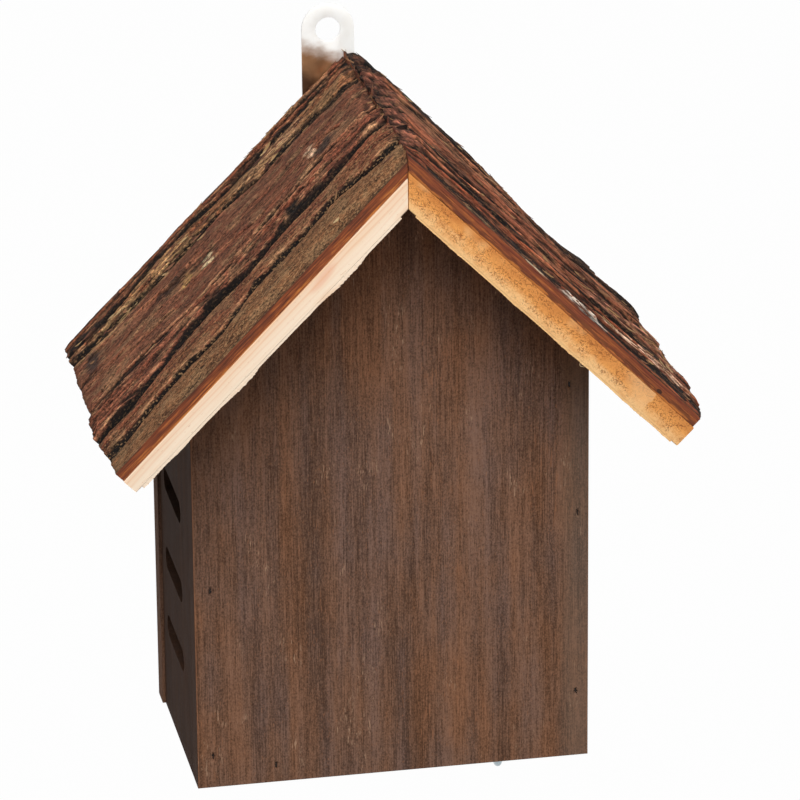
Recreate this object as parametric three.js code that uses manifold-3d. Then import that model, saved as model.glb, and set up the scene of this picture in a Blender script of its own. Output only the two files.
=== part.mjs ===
// An insect hotel: a small house of stained boards under a gable roof of two bark-covered slabs.
// Millimetres, +Z up, the front looks along -Y. The origin is the middle of the back panel's lower
// edge, so z = 0 is the level of the lower edges and x = 0 is the plane under the ridge.
import * as THREE from "three";
import { mergeVertices } from "three/addons/utils/BufferGeometryUtils.js";
import Module from "manifold-3d";

// House of boards
const bodyWidth = 150;
const bodyDepth = 90;
const panelThickness = 10;
const wallThickness = 10;
const backPanelProud = 1.2; // how far the back panel stands out past each side wall
const ridgeHeight = 238.5; // underside of the roof at the ridge
const roofPitch = Math.PI / 4;
const roofSeatGap = 0.3; // between the roof's underside and the boards that carry it

// Slots in the side walls
const slotLength = 41;
const slotHeight = 9;
const slotSetback = 4.5; // the slots' middle lies this far behind the middle of the wall
const slotLevelShares = [0.236, 0.411, 0.61]; // of the height of the wall's outer face

// Floor flap, which swings down about two pins near its left end
const flapThickness = 10;
const flapPivotInset = 30.1; // from the left edge of the body
const flapPivotHeight = 6.5;
const flapSwingGap = 0.6; // from the flap's ends to the side walls, where they pass closest
const flapSideGap = 0.5; // from the flap's long edges to the front and back panels
const pinRadius = 0.8;
const pinLength = 28;
const pinHeadRadius = 1.05;
const pinHeadLength = 1.2;
const pinSeatClearance = 0.1; // in the panel
const pinRunningClearance = 0.09; // in the flap

// Hook that locks the flap: bent wire with its shank screwed up into the front panel
const hookWireRadius = 1.4;
const hookInset = 33.8; // from the right edge of the body
const hookSetback = 4; // behind the front face
const hookDrop = 4.7; // lowest point under the lower edges
const hookBendRadius = 3;
const hookArmLength = 13;
const hookShankLength = 16;
const hookPointLength = 3;
const hookPointShare = 0.8; // of the wire's radius, at the root of the point
const hookTipGap = 0.3; // from the arm's tip to the flap
const hookBoreClearance = 0.15;

// Brads with flat narrow heads, set below the surface
const bradLength = 25;
const bradWidth = 1.4;
const bradShank = 1.2;
const bradHeadHeight = 3;
const bradHeadThickness = 1;
const bradPointLength = 2.5;
const bradSetDepth = 1.2;
const bradClearance = 0.1;
const dimpleWidth = 1.9;
const dimpleHeight = 4.2;
const frontBradShares = {
  left: { insetShares: [0.59, 0.63, 0.6], levelShares: [0.077, 0.492, 0.92] },
  right: { insetShares: [0.48, 0.42, 0.72], levelShares: [0.16, 0.609, 0.927] },
}; // insets are of the wall's thickness, levels of the wall's outer height
const backBradShares = {
  left: { insetShares: [0.5, 0.5, 0.5], levelShares: [0.12, 0.5, 0.92] },
  right: { insetShares: [0.5, 0.5, 0.5], levelShares: [0.12, 0.5, 0.92] },
};
const roofBradShares = [0.3, 0.78]; // of the slope's length over the panels

// Roof slabs: a board with its bark, cut square at the eave and mitred at the ridge
const roofOverhang = 38.3; // in front of the front panel
const roofRearInset = 0.5; // in front of the back panel's rear face
const leftSlopeLength = 142.3;
const rightSlopeLength = 140.5;
const leftBoardRidge = 8.4;
const leftBoardEave = 6.6;
const rightBoardRidge = 10;
const rightBoardEave = 9.2;
const mitreGap = 0.3;
const barkGap = 0.1; // between a board and its bark
const barkThickness = 9;
const innerBarkShare = 0.46; // of the bark's thickness, at the sawn front edge
const barkLipShare = 0.045; // of the roof's depth, over which the bark rises behind the sawn front

// Bark plates, listed from the front to the rear, with a furrow between each two. A furrow's line
// gives its places across the roof's depth, and a plate's line its heights as shares of the bark's
// thickness, both at the stations from the ridge down to the eave.
const stationShares = [0, 0.14, 0.28, 0.42, 0.56, 0.7, 0.85, 1];
const leftFurrowShares = [
  [0.127, 0.172, 0.165, 0.179, 0.12, 0.136, 0.123, 0.12],
  [0.304, 0.298, 0.309, 0.272, 0.299, 0.284, 0.251, 0.253],
  [0.435, 0.434, 0.421, 0.403, 0.398, 0.411, 0.422, 0.437],
  [0.738, 0.769, 0.771, 0.812, 0.797, 0.793, 0.808, 0.847],
  [0.917, 0.902, 0.89, 0.898, 0.922, 0.917, 0.886, 0.902],
];
const leftCrestShares = [
  [0.8, 0.79, 0.77, 0.74, 0.71, 0.67, 0.6, 0.48],
  [0.86, 0.84, 0.82, 0.8, 0.78, 0.76, 0.74, 0.68],
  [1, 0.98, 0.96, 0.94, 0.93, 0.91, 0.9, 0.86],
  [0.79, 0.79, 0.78, 0.78, 0.78, 0.77, 0.77, 0.76],
  [0.66, 0.67, 0.68, 0.69, 0.71, 0.72, 0.73, 0.73],
  [0.56, 0.59, 0.62, 0.65, 0.68, 0.71, 0.74, 0.76],
];
const leftEaveShares = [0, 0.2, 0.75, 0.1, -0.2, -0.1]; // of the ragged length
const rightFurrowShares = [
  [0.1, 0.108, 0.12, 0.113, 0.13, 0.14, 0.138, 0.15],
  [0.25, 0.24, 0.262, 0.25, 0.27, 0.281, 0.27, 0.29],
  [0.41, 0.402, 0.382, 0.4, 0.421, 0.41, 0.43, 0.421],
  [0.6, 0.622, 0.61, 0.59, 0.581, 0.6, 0.62, 0.61],
  [0.8, 0.79, 0.812, 0.82, 0.8, 0.781, 0.79, 0.81],
];
const rightCrestShares = [
  [0.8, 0.81, 0.81, 0.83, 0.83, 0.84, 0.85, 0.8],
  [0.96, 0.97, 0.97, 0.97, 0.97, 1, 0.98, 0.84],
  [1.11, 1.12, 1.11, 1.08, 1.05, 1.09, 1, 0.76],
  [1.2, 1.2, 1.17, 1.1, 1.01, 1.09, 1.1, 0.68],
  [1.1, 1.07, 1, 0.89, 0.73, 0.76, 0.87, 0.56],
  [0.82, 0.81, 0.78, 0.7, 0.54, 0.47, 0.52, 0.47],
];
const rightEaveShares = [-0.2, 0.35, 0.55, -0.3, 0.35, 0.15];
const barkEaveRagged = 2.2;
const furrowHalfWidth = 1.8;
const furrowWave = 0.7;
const furrowFloorShare = 0.42; // of the bark's thickness
const plateShoulderShare = 0.86; // height of a plate's shoulder, as a share of its crest
const plateTopShares = [0.2, 0.85]; // where a plate's two levels begin and end, across its width
const ledgeShares = [0.55, 0.45, 0.5, 0.6, 0.4, 0.5]; // where a plate steps up to its rear level
const ledgeWaveShare = 0.08;
const ledgeFaceShare = 0.05;
const ledgeDropShare = 0.11; // height of the step, as a share of the bark's thickness
const crestSwellShare = 0.03; // slow rise and fall of a crest along the slope
const leftRidgeDrop = 1.5; // how far the bark is worn down at the ridge
const rightRidgeDrop = 5;
const ridgeDropStart = 8; // above the line where the slope's length starts
const ridgeDropReach = 9;
const ridgeDropShares = [0.4, 0.8, 1, 1, 1, 1]; // of each plate
const barkRows = 32;
const waveCount = 1.7;
const phaseStep = 2.4;

// Hanger strap and its screws
const strapWidth = 20;
const strapThickness = 1.2;
const strapRise = 38; // from the underside of the roof's ridge up to the strap's top
const strapScrewDrop = 15.5; // from the underside of the roof's ridge down to the upper screw
const strapScrewPitch = 21.5;
const strapEndMargin = 10; // from the lower screw down to the strap's end
const strapOffset = 5.6; // left of the middle
const strapCornerRadius = 6;
const strapHoleRadius = 4.8;
const strapHoleDrop = 10.2; // from the strap's top to the hole's middle
const strapScrewHoleRadius = 1.8;
const screwHeadRadius = 3.3;
const screwHeadHeight = 2.1;
const screwShankRadius = 1.5;
const screwLength = 9;
const screwPointLength = 3;
const screwBoreClearance = 0.15;
const screwSeatGap = 0.1;
const recessWidth = 0.9;
const recessSpan = 3.6;
const recessDepth = 1.1;

// Cutters run this far past what they cut.
const overrun = 3;
const pinSides = 24;
const wireSides = 12;
const wireSteps = 34;
const curveSegments = 8;

// Places that follow from the sizes above
const halfWidth = bodyWidth / 2;
const halfPanel = panelThickness / 2;
const rearFace = halfPanel;
const frontFace = rearFace - bodyDepth;
const innerFront = frontFace + panelThickness;
const innerRear = -halfPanel;
const innerDepth = innerRear - innerFront;
const roofFront = frontFace - roofOverhang;
const roofRear = rearFace - roofRearInset;
const roofDepth = roofRear - roofFront;
const sinPitch = Math.sin(roofPitch);
const cosPitch = Math.cos(roofPitch);
const tanPitch = Math.tan(roofPitch);
const boardPeak = ridgeHeight - roofSeatGap / cosPitch; // where the panels' slopes meet
const wallHeight = boardPeak - halfWidth * tanPitch;
const pivotX = flapPivotInset - halfWidth;
const hookX = halfWidth - hookInset;
const hookY = frontFace + hookSetback;
const strapTop = ridgeHeight + strapRise;
const strapScrewLevels = [ridgeHeight - strapScrewDrop, ridgeHeight - strapScrewDrop - strapScrewPitch];

const wasm = await Module();
wasm.setup();

// Solid of a closed geometry, for a join or a cut.
function solidOf(geometry) {
  const plain = geometry.clone();
  plain.deleteAttribute("normal");
  plain.deleteAttribute("uv");
  const merged = mergeVertices(plain);
  return new wasm.Manifold(
    new wasm.Mesh({
      numProp: 3,
      vertProperties: merged.attributes.position.array,
      triVerts: new Uint32Array(merged.index.array),
    }),
  );
}

// Geometry of a solid, with flat faces.
function geometryOf(solid) {
  const mesh = solid.getMesh();
  const geometry = new THREE.BufferGeometry();
  geometry.setAttribute("position", new THREE.BufferAttribute(mesh.vertProperties, mesh.numProp));
  geometry.setIndex(new THREE.BufferAttribute(mesh.triVerts, 1));
  const flat = geometry.toNonIndexed();
  flat.computeVertexNormals();
  return flat;
}

function cut(geometry, cutters) {
  return geometryOf(cutters.reduce((left, cutter) => left.subtract(solidOf(cutter)), solidOf(geometry)));
}

function join(geometries) {
  const [first, ...rest] = geometries.map(solidOf);
  return geometryOf(rest.reduce((sum, solid) => sum.add(solid), first));
}

// A shape drawn in x and z, extruded towards +Y from yLow.
function alongY(shape, yLow, length) {
  const geometry = new THREE.ExtrudeGeometry(shape, { depth: length, bevelEnabled: false, curveSegments });
  return geometry.rotateX(Math.PI / 2).translate(0, yLow + length, 0);
}

// A shape drawn in y and z, extruded towards +X from xLow.
function alongX(shape, xLow, length) {
  const geometry = new THREE.ExtrudeGeometry(shape, { depth: length, bevelEnabled: false, curveSegments });
  const turn = new THREE.Matrix4().makeBasis(
    new THREE.Vector3(0, 1, 0),
    new THREE.Vector3(0, 0, 1),
    new THREE.Vector3(1, 0, 0),
  );
  return geometry.applyMatrix4(turn).translate(xLow, 0, 0);
}

function polygon(points) {
  return new THREE.Shape(points.map(([a, b]) => new THREE.Vector2(a, b)));
}

// A slot outline with round ends, long along its first axis.
function stadium(centreA, centreB, length, height) {
  const radius = height / 2;
  const reach = length / 2 - radius;
  const shape = new THREE.Shape();
  shape.absarc(centreA + reach, centreB, radius, -Math.PI / 2, Math.PI / 2, false);
  shape.absarc(centreA - reach, centreB, radius, Math.PI / 2, (3 * Math.PI) / 2, false);
  return shape;
}

// A round bar along +Y whose end is at the origin.
function barAlongY(radius, length, sides) {
  const bar = new THREE.CylinderGeometry(radius, radius, length, sides);
  return bar.translate(0, length / 2, 0);
}

// A brad's outline, with its head's outer face at a = 0 and its point towards +a.
function bradOutline(extra) {
  const shank = bradShank / 2 + extra;
  const head = bradHeadHeight / 2 + extra;
  const neck = bradHeadThickness + extra;
  const end = bradLength + extra;
  return polygon([
    [-extra, -head],
    [neck, -head],
    [neck, -shank],
    [end - bradPointLength, -shank],
    [end, 0],
    [end - bradPointLength, shank],
    [neck, shank],
    [neck, head],
    [-extra, head],
  ]);
}

// A brad that points along +Y with its head's face at the origin.
function brad() {
  return alongX(bradOutline(0), -bradWidth / 2, bradWidth);
}

// The space that a brad leaves, with the dimple that it was set through.
function bradCutter(dimpleDepth) {
  const width = bradWidth + 2 * bradClearance;
  const channel = alongX(bradOutline(bradClearance), -width / 2, width);
  const dimple = alongY(stadium(0, 0, dimpleHeight, dimpleWidth), -dimpleDepth, dimpleDepth + bradHeadThickness);
  return join([channel, dimple.rotateY(Math.PI / 2)]);
}

// Height of the panels' slopes at a distance from the middle.
function slopeHeight(x) {
  return boardPeak - Math.abs(x) * tanPitch;
}

// Places of the brads that hold a panel to the side walls.
function bradPlaces(shares) {
  return Object.entries({ left: -1, right: 1 }).flatMap(([side, sign]) =>
    shares[side].levelShares.map((levelShare, i) => ({
      name: side + "_" + (i + 1),
      sign,
      x: sign * (halfWidth - wallThickness * shares[side].insetShares[i]),
      z: levelShare * wallHeight,
    })),
  );
}

const frontBradPlaces = bradPlaces(frontBradShares);
const backBradPlaces = bradPlaces(backBradShares);

// Turns a brad or its cutter to point from the front face back, or from the rear face forward.
function fromFront(geometry, x, z) {
  return geometry.translate(x, frontFace + bradSetDepth, z);
}

function fromRear(geometry, x, z) {
  return geometry.rotateZ(Math.PI).translate(x, rearFace - bradSetDepth, z);
}

// A pivot pin along +Y: a lost head, a shank and a blunt point.
function pivotPin() {
  const profile = [
    [0, 0],
    [pinHeadRadius, 0],
    [pinHeadRadius, pinHeadLength / 2],
    [pinRadius, pinHeadLength],
    [pinRadius, pinLength - pinRadius],
    [0, pinLength],
  ].map(([r, y]) => new THREE.Vector2(r, y));
  return new THREE.LatheGeometry(profile, pinSides);
}

function pivotPinCutter() {
  const seat = barAlongY(pinRadius + pinSeatClearance, panelThickness + overrun, pinSides);
  const dimple = new THREE.Shape();
  const width = pinHeadRadius + pinSeatClearance;
  dimple.absellipse(0, 0, width, dimpleHeight / 2, 0, 2 * Math.PI, false, 0);
  const depth = bradSetDepth + overrun;
  return join([seat, alongY(dimple, -depth, depth + pinHeadLength)]);
}

// Outline of a front or back panel: square below, pointed under the roof.
function gable(half) {
  return polygon([
    [-half, 0],
    [half, 0],
    [half, slopeHeight(half)],
    [0, boardPeak],
    [-half, slopeHeight(half)],
  ]);
}

// Point in x and z of a roof slab: along the slope from the ridge, and out from its underside.
function slabPoint(sign, along, out) {
  const x = along * cosPitch + out * sinPitch;
  return [sign * x, ridgeHeight - along * sinPitch + out * cosPitch];
}

const slabs = {
  left: {
    sign: -1,
    length: leftSlopeLength,
    boardRidge: leftBoardRidge,
    boardEave: leftBoardEave,
    furrowShares: leftFurrowShares,
    crestShares: leftCrestShares,
    eaveShares: leftEaveShares,
    ridgeDrop: leftRidgeDrop,
  },
  right: {
    sign: 1,
    length: rightSlopeLength,
    boardRidge: rightBoardRidge,
    boardEave: rightBoardEave,
    furrowShares: rightFurrowShares,
    crestShares: rightCrestShares,
    eaveShares: rightEaveShares,
    ridgeDrop: rightRidgeDrop,
  },
};

// Where the mitre plane cuts the slab at a distance out from its underside.
function mitreAlong(out) {
  return -out * tanPitch + mitreGap / 2 / cosPitch;
}

// Matrices that set a brad square to a slab, its head's face level with the board's upper face.
function roofBradMatrices(slab) {
  const slopeOverPanel = halfWidth / cosPitch;
  return [innerFront - halfPanel, innerRear + halfPanel].flatMap((y) =>
    roofBradShares.map((share) => {
      const along = share * slopeOverPanel;
      const rise = (slab.boardEave - slab.boardRidge) * (along / slab.length);
      const out = slab.boardRidge + rise - bradSetDepth;
      const [x, z] = slabPoint(slab.sign, along, out);
      const inward = new THREE.Vector3(-slab.sign * sinPitch, 0, -cosPitch);
      const across = new THREE.Vector3(0, 1, 0);
      return new THREE.Matrix4().makeBasis(inward.clone().cross(across), inward, across).setPosition(x, y, z);
    }),
  );
}

function roofBoard(slab) {
  const { sign, length, boardRidge, boardEave } = slab;
  const outline = polygon([
    slabPoint(sign, mitreAlong(0), 0),
    slabPoint(sign, length, 0),
    slabPoint(sign, length, boardEave),
    slabPoint(sign, mitreAlong(boardRidge), boardRidge),
  ]);
  const cutters = roofBradMatrices(slab).map((matrix) => bradCutter(bradSetDepth + overrun).applyMatrix4(matrix));
  return cut(alongY(outline, roofFront, roofDepth), cutters);
}

// Value of a line of shares at a share of the slope's length, read between its stations.
function atStation(line, share) {
  const last = stationShares.length - 2;
  const i = Math.min(stationShares.findLastIndex((station) => station <= share), last);
  const part = (share - stationShares[i]) / (stationShares[i + 1] - stationShares[i]);
  return line[i] + (line[i + 1] - line[i]) * part;
}

// One row of bark points across the roof's depth, as [across, height over the board, ragged share].
function barkRow(slab, share) {
  const wave = (i) => furrowWave * Math.sin(2 * Math.PI * waveCount * share + i * phaseStep);
  const furrows = slab.furrowShares.map((line, i) => atStation(line, share) * roofDepth + wave(i));
  const edges = [barkLipShare * roofDepth - furrowHalfWidth, ...furrows, roofDepth + furrowHalfWidth];
  const floor = furrowFloorShare * barkThickness;
  const row = [[0, innerBarkShare * barkThickness, slab.eaveShares[0], 0]];
  slab.crestShares.forEach((line, i) => {
    const swell = 1 + crestSwellShare * Math.sin(2 * Math.PI * share * (1 + waveCount) + i * phaseStep);
    const crest = atStation(line, share) * barkThickness * swell;
    const low = edges[i] + furrowHalfWidth;
    const high = edges[i + 1] - furrowHalfWidth;
    const ragged = slab.eaveShares[i];
    const lower = crest - ledgeDropShare * barkThickness;
    const ledge = ledgeShares[i] + ledgeWaveShare * Math.sin(2 * Math.PI * waveCount * share + i * phaseStep);
    const at = (part) => low + part * (high - low);
    const drop = ridgeDropShares[i];
    row.push([at(0), crest * plateShoulderShare, ragged, drop]);
    row.push([at(plateTopShares[0]), lower, ragged, drop]);
    row.push([at(ledge), lower, ragged, drop]);
    row.push([at(ledge + ledgeFaceShare), crest, ragged, drop]);
    row.push([at(plateTopShares[1]), crest, ragged, drop]);
    row.push([at(1), crest * plateShoulderShare, ragged, drop]);
    if (i < furrows.length) row.push([edges[i + 1], floor, ragged, 0]);
  });
  return row;
}

// The bark of a slab, laid out as a grid along the slope and cut to the mitre and to its board.
function roofBark(slab) {
  const { sign, length, boardRidge, boardEave } = slab;
  const ridgeReach = (boardRidge + 2 * barkThickness) * tanPitch;
  const floor = furrowFloorShare * barkThickness;
  const rows = Array.from({ length: barkRows + 1 }, (_, i) => {
    const along = (i / barkRows) * (length + ridgeReach) - ridgeReach;
    return barkRow(slab, Math.max(along / length, 0));
  });
  const columns = rows[0].length;
  const positions = [];
  const boardTop = (along) => boardRidge + (boardEave - boardRidge) * (along / length);
  for (const layer of [0, 1]) {
    rows.forEach((row, i) =>
      row.forEach(([across, height, ragged, drop]) => {
        const end = length + ragged * barkEaveRagged;
        const along = -ridgeReach + (i / barkRows) * (end + ridgeReach);
        const worn = slab.ridgeDrop * drop * Math.max(-(along + ridgeDropStart) / ridgeDropReach, 0);
        const out = layer ? boardTop(along) + Math.max(height - worn, floor) : 0;
        const [x, z] = slabPoint(sign, along, out);
        positions.push(x, roofFront + across, z);
      }),
    );
  }
  const at = (layer, i, j) => (layer * rows.length + i) * columns + j;
  const faces = [];
  const quad = (a, b, c, d) => (sign > 0 ? faces.push(a, b, c, a, c, d) : faces.push(a, c, b, a, d, c));
  for (let i = 0; i < barkRows; i++) {
    for (let j = 0; j < columns - 1; j++) {
      quad(at(1, i, j), at(1, i + 1, j), at(1, i + 1, j + 1), at(1, i, j + 1));
      quad(at(0, i, j), at(0, i, j + 1), at(0, i + 1, j + 1), at(0, i + 1, j));
    }
    quad(at(0, i, 0), at(0, i + 1, 0), at(1, i + 1, 0), at(1, i, 0));
    const last = columns - 1;
    quad(at(1, i, last), at(1, i + 1, last), at(0, i + 1, last), at(0, i, last));
  }
  for (let j = 0; j < columns - 1; j++) {
    quad(at(0, 0, j), at(1, 0, j), at(1, 0, j + 1), at(0, 0, j + 1));
    quad(at(0, barkRows, j), at(0, barkRows, j + 1), at(1, barkRows, j + 1), at(1, barkRows, j));
  }
  const grid = new THREE.BufferGeometry();
  grid.setAttribute("position", new THREE.Float32BufferAttribute(positions, 3));
  grid.setIndex(faces);

  const far = 2 * length;
  const reach = 2 * ridgeReach;
  const boardSpace = alongY(
    polygon([
      slabPoint(sign, -reach, -overrun),
      slabPoint(sign, length + far, -overrun),
      slabPoint(sign, length + far, boardTop(length + far) + barkGap),
      slabPoint(sign, -reach, boardTop(-reach) + barkGap),
    ]),
    roofFront - overrun,
    roofDepth + 2 * overrun,
  );
  const otherSide = alongY(
    polygon([
      [(sign * mitreGap) / 2, ridgeHeight - far],
      [-sign * far, ridgeHeight - far],
      [-sign * far, ridgeHeight + far],
      [(sign * mitreGap) / 2, ridgeHeight + far],
    ]),
    roofFront - overrun,
    roofDepth + 2 * overrun,
  );
  return cut(grid, [boardSpace, otherSide]);
}

function frontPanel() {
  const bradCutters = frontBradPlaces.map(({ x, z }) => fromFront(bradCutter(bradSetDepth + overrun), x, z));
  const pin = fromFront(pivotPinCutter(), pivotX, flapPivotHeight);
  const hookBore = new THREE.CylinderGeometry(
    hookWireRadius + hookBoreClearance,
    hookWireRadius + hookBoreClearance,
    hookShankLength + 2 * overrun,
    wireSides,
  );
  hookBore.rotateX(Math.PI / 2).translate(hookX, hookY, hookShankLength / 2);
  const roofBrads = Object.values(slabs).flatMap((slab) =>
    roofBradMatrices(slab)
      .slice(0, roofBradShares.length)
      .map((matrix) => bradCutter(bradSetDepth).applyMatrix4(matrix)),
  );
  return cut(alongY(gable(halfWidth), frontFace, panelThickness), [...bradCutters, pin, hookBore, ...roofBrads]);
}

function backPanel() {
  const bradCutters = backBradPlaces.map(({ x, z }) => fromRear(bradCutter(bradSetDepth + overrun), x, z));
  const pin = fromRear(pivotPinCutter(), pivotX, flapPivotHeight);
  const roofBrads = Object.values(slabs).flatMap((slab) =>
    roofBradMatrices(slab)
      .slice(roofBradShares.length)
      .map((matrix) => bradCutter(bradSetDepth).applyMatrix4(matrix)),
  );
  const screwBores = strapScrewLevels.map((level) =>
    barAlongY(screwShankRadius + screwBoreClearance, screwLength + overrun, pinSides)
      .rotateZ(Math.PI)
      .translate(-strapOffset, rearFace + overrun, level),
  );
  const outline = gable(halfWidth + backPanelProud);
  return cut(alongY(outline, innerRear, panelThickness), [...bradCutters, pin, ...roofBrads, ...screwBores]);
}

function sideWall(sign) {
  const outer = sign * halfWidth;
  const inner = sign * (halfWidth - wallThickness);
  const section = [
    [outer, 0],
    [outer, slopeHeight(outer)],
    [inner, slopeHeight(inner)],
    [inner, 0],
  ];
  const wall = alongY(polygon(section), innerFront, innerDepth);
  const slotY = (innerFront + innerRear) / 2 + slotSetback;
  const slots = slotLevelShares.map((share) =>
    alongX(
      stadium(slotY, share * wallHeight, slotLength, slotHeight),
      Math.min(outer, inner) - overrun,
      wallThickness + 2 * overrun,
    ),
  );
  const here = (place) => place.sign === sign;
  const frontBrads = frontBradPlaces.filter(here).map(({ x, z }) => fromFront(bradCutter(0), x, z));
  const backBrads = backBradPlaces.filter(here).map(({ x, z }) => fromRear(bradCutter(0), x, z));
  return cut(wall, [...slots, ...frontBrads, ...backBrads]);
}

function floorFlap() {
  const low = Math.max(flapPivotHeight, flapThickness - flapPivotHeight);
  const shortEnd = Math.sqrt((flapPivotInset - wallThickness - flapSwingGap) ** 2 - low ** 2);
  const right = halfWidth - wallThickness - flapSwingGap;
  const left = pivotX - shortEnd;
  const board = alongY(
    polygon([
      [left, 0],
      [right, 0],
      [right, flapThickness],
      [left, flapThickness],
    ]),
    innerFront + flapSideGap,
    innerDepth - 2 * flapSideGap,
  );
  const depth = pinLength + bradSetDepth + pinRunningClearance;
  const bore = () => barAlongY(pinRadius + pinRunningClearance, depth, pinSides);
  return cut(board, [
    bore().translate(pivotX, frontFace, flapPivotHeight),
    bore().rotateZ(Math.PI).translate(pivotX, rearFace, flapPivotHeight),
  ]);
}

// Height of the middle of the hook's bend, and how far past level its arm rises to meet the flap.
const hookBendHeight = hookBendRadius + hookWireRadius - hookDrop;
const hookLean = hookBendRadius - hookWireRadius;
const hookRise =
  Math.atan2(hookLean, hookArmLength) +
  Math.asin((-hookTipGap - hookBendHeight) / Math.hypot(hookArmLength, hookLean));

// The middle line of the hook's wire: down its shank, round the bend and back along its arm.
class HookLine extends THREE.Curve {
  getPoint(t, target = new THREE.Vector3()) {
    const shank = hookShankLength - hookPointLength - hookBendHeight;
    const bend = hookBendRadius * (Math.PI / 2 + hookRise);
    const run = t * (shank + bend + hookArmLength);
    const angle = Math.min(Math.max(run - shank, 0), bend) / hookBendRadius;
    const rest = Math.max(run - shank - bend, 0);
    const y = hookBendRadius * (1 - Math.cos(angle)) + rest * Math.cos(hookRise);
    const drop = Math.min(run, shank) + hookBendRadius * Math.sin(angle) - rest * Math.sin(hookRise);
    return target.set(0, y, hookShankLength - hookPointLength - drop);
  }
}

function floorHook() {
  const section = new THREE.Shape().absarc(0, 0, hookWireRadius, 0, 2 * Math.PI, false);
  const wire = new THREE.ExtrudeGeometry(section, {
    steps: wireSteps,
    extrudePath: new HookLine(),
    curveSegments: wireSides / 2,
    bevelEnabled: false,
  });
  const pointProfile = [
    new THREE.Vector2(0, -hookPointLength),
    new THREE.Vector2(hookWireRadius * hookPointShare, -hookPointLength),
    new THREE.Vector2(hookWireRadius * hookPointShare, 0),
    new THREE.Vector2(0, hookPointLength),
  ];
  const point = new THREE.LatheGeometry(pointProfile, wireSides);
  point.rotateX(Math.PI / 2).translate(0, 0, hookShankLength - hookPointLength);
  return join([wire, point]);
}

// The strap's outline in x and z, round at the top and with rounded corners below.
function hangerStrap() {
  const half = strapWidth / 2;
  const bottom = Math.min(...strapScrewLevels) - strapEndMargin;
  const shape = new THREE.Shape();
  shape.absarc(0, strapTop - half, half, 0, Math.PI, false);
  shape.absarc(-half + strapCornerRadius, bottom + strapCornerRadius, strapCornerRadius, Math.PI, 1.5 * Math.PI, false);
  shape.absarc(half - strapCornerRadius, bottom + strapCornerRadius, strapCornerRadius, 1.5 * Math.PI, 2 * Math.PI, false);
  const hole = new THREE.Path().absarc(0, strapTop - strapHoleDrop, strapHoleRadius, 0, 2 * Math.PI, true);
  shape.holes.push(hole);
  strapScrewLevels.forEach((level) => {
    shape.holes.push(new THREE.Path().absarc(0, level, strapScrewHoleRadius, 0, 2 * Math.PI, true));
  });
  return alongY(shape, rearFace, strapThickness).translate(-strapOffset, 0, 0);
}

// A screw along -Y whose domed head has its flat side at the origin.
function strapScrew() {
  const dome = new THREE.EllipseCurve(0, 0, screwHeadRadius, screwHeadHeight, 0, Math.PI / 2);
  const profile = [
    new THREE.Vector2(0, -screwLength),
    new THREE.Vector2(screwShankRadius, screwPointLength - screwLength),
    new THREE.Vector2(screwShankRadius, 0),
    ...dome.getPoints(curveSegments / 2),
  ];
  profile[profile.length - 1].x = 0;
  const screw = new THREE.LatheGeometry(profile, pinSides);
  const bar = (turn) =>
    new THREE.BoxGeometry(recessSpan, recessDepth + overrun, recessWidth)
      .rotateY(turn)
      .translate(0, screwHeadHeight - recessDepth + (recessDepth + overrun) / 2, 0);
  return cut(screw, [bar(0), bar(Math.PI / 2)]);
}

// Finishes
const stainedWood = { color: 0x5e4538, roughness: 0.8, metalness: 0 };
const paleWood = { color: 0xecd0ad, roughness: 0.75, metalness: 0 };
const orangeWood = { color: 0xd99c5f, roughness: 0.75, metalness: 0 };
const barkSkin = { color: 0x74503f, roughness: 0.95, metalness: 0 };
const galvanised = { color: 0xcfcac2, roughness: 0.35, metalness: 0.9 };
const zinc = { color: 0xa9b8bd, roughness: 0.3, metalness: 0.9 };
const steel = { color: 0x3b332e, roughness: 0.6, metalness: 0.7 };

const hotel = new THREE.Group();

function add(name, geometry, finish) {
  const mesh = new THREE.Mesh(geometry, new THREE.MeshStandardMaterial(finish));
  mesh.name = name;
  hotel.add(mesh);
  return mesh;
}

add("front_panel", frontPanel(), stainedWood);
add("back_panel", backPanel(), stainedWood);
add("left_wall", sideWall(-1), stainedWood);
add("right_wall", sideWall(1), stainedWood);
add("floor_flap", floorFlap(), stainedWood);
add("roof_board_left", roofBoard(slabs.left), paleWood);
add("roof_board_right", roofBoard(slabs.right), orangeWood);
add("roof_bark_left", roofBark(slabs.left), barkSkin);
add("roof_bark_right", roofBark(slabs.right), barkSkin);
add("hanger_strap", hangerStrap(), galvanised);
add("floor_hook", floorHook(), zinc).position.set(hookX, hookY, 0);

strapScrewLevels.forEach((level, i) => {
  const screw = add("strap_screw_" + (i + 1), strapScrew(), zinc);
  screw.position.set(-strapOffset, rearFace + strapThickness + screwSeatGap, level);
});

frontBradPlaces.forEach(({ name, x, z }) => add("front_brad_" + name, fromFront(brad(), x, z), steel));
backBradPlaces.forEach(({ name, x, z }) => add("back_brad_" + name, fromRear(brad(), x, z), steel));

add("pivot_pin_front", fromFront(pivotPin(), pivotX, flapPivotHeight), steel);
add("pivot_pin_back", fromRear(pivotPin(), pivotX, flapPivotHeight), steel);

Object.entries(slabs).forEach(([side, slab]) => {
  roofBradMatrices(slab).forEach((matrix, i) => {
    add("roof_brad_" + side + "_" + (i + 1), brad().applyMatrix4(matrix), steel);
  });
});

export default hotel;
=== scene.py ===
import math
import bmesh
import bpy
import numpy as np
from mathutils import Matrix, Vector


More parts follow.
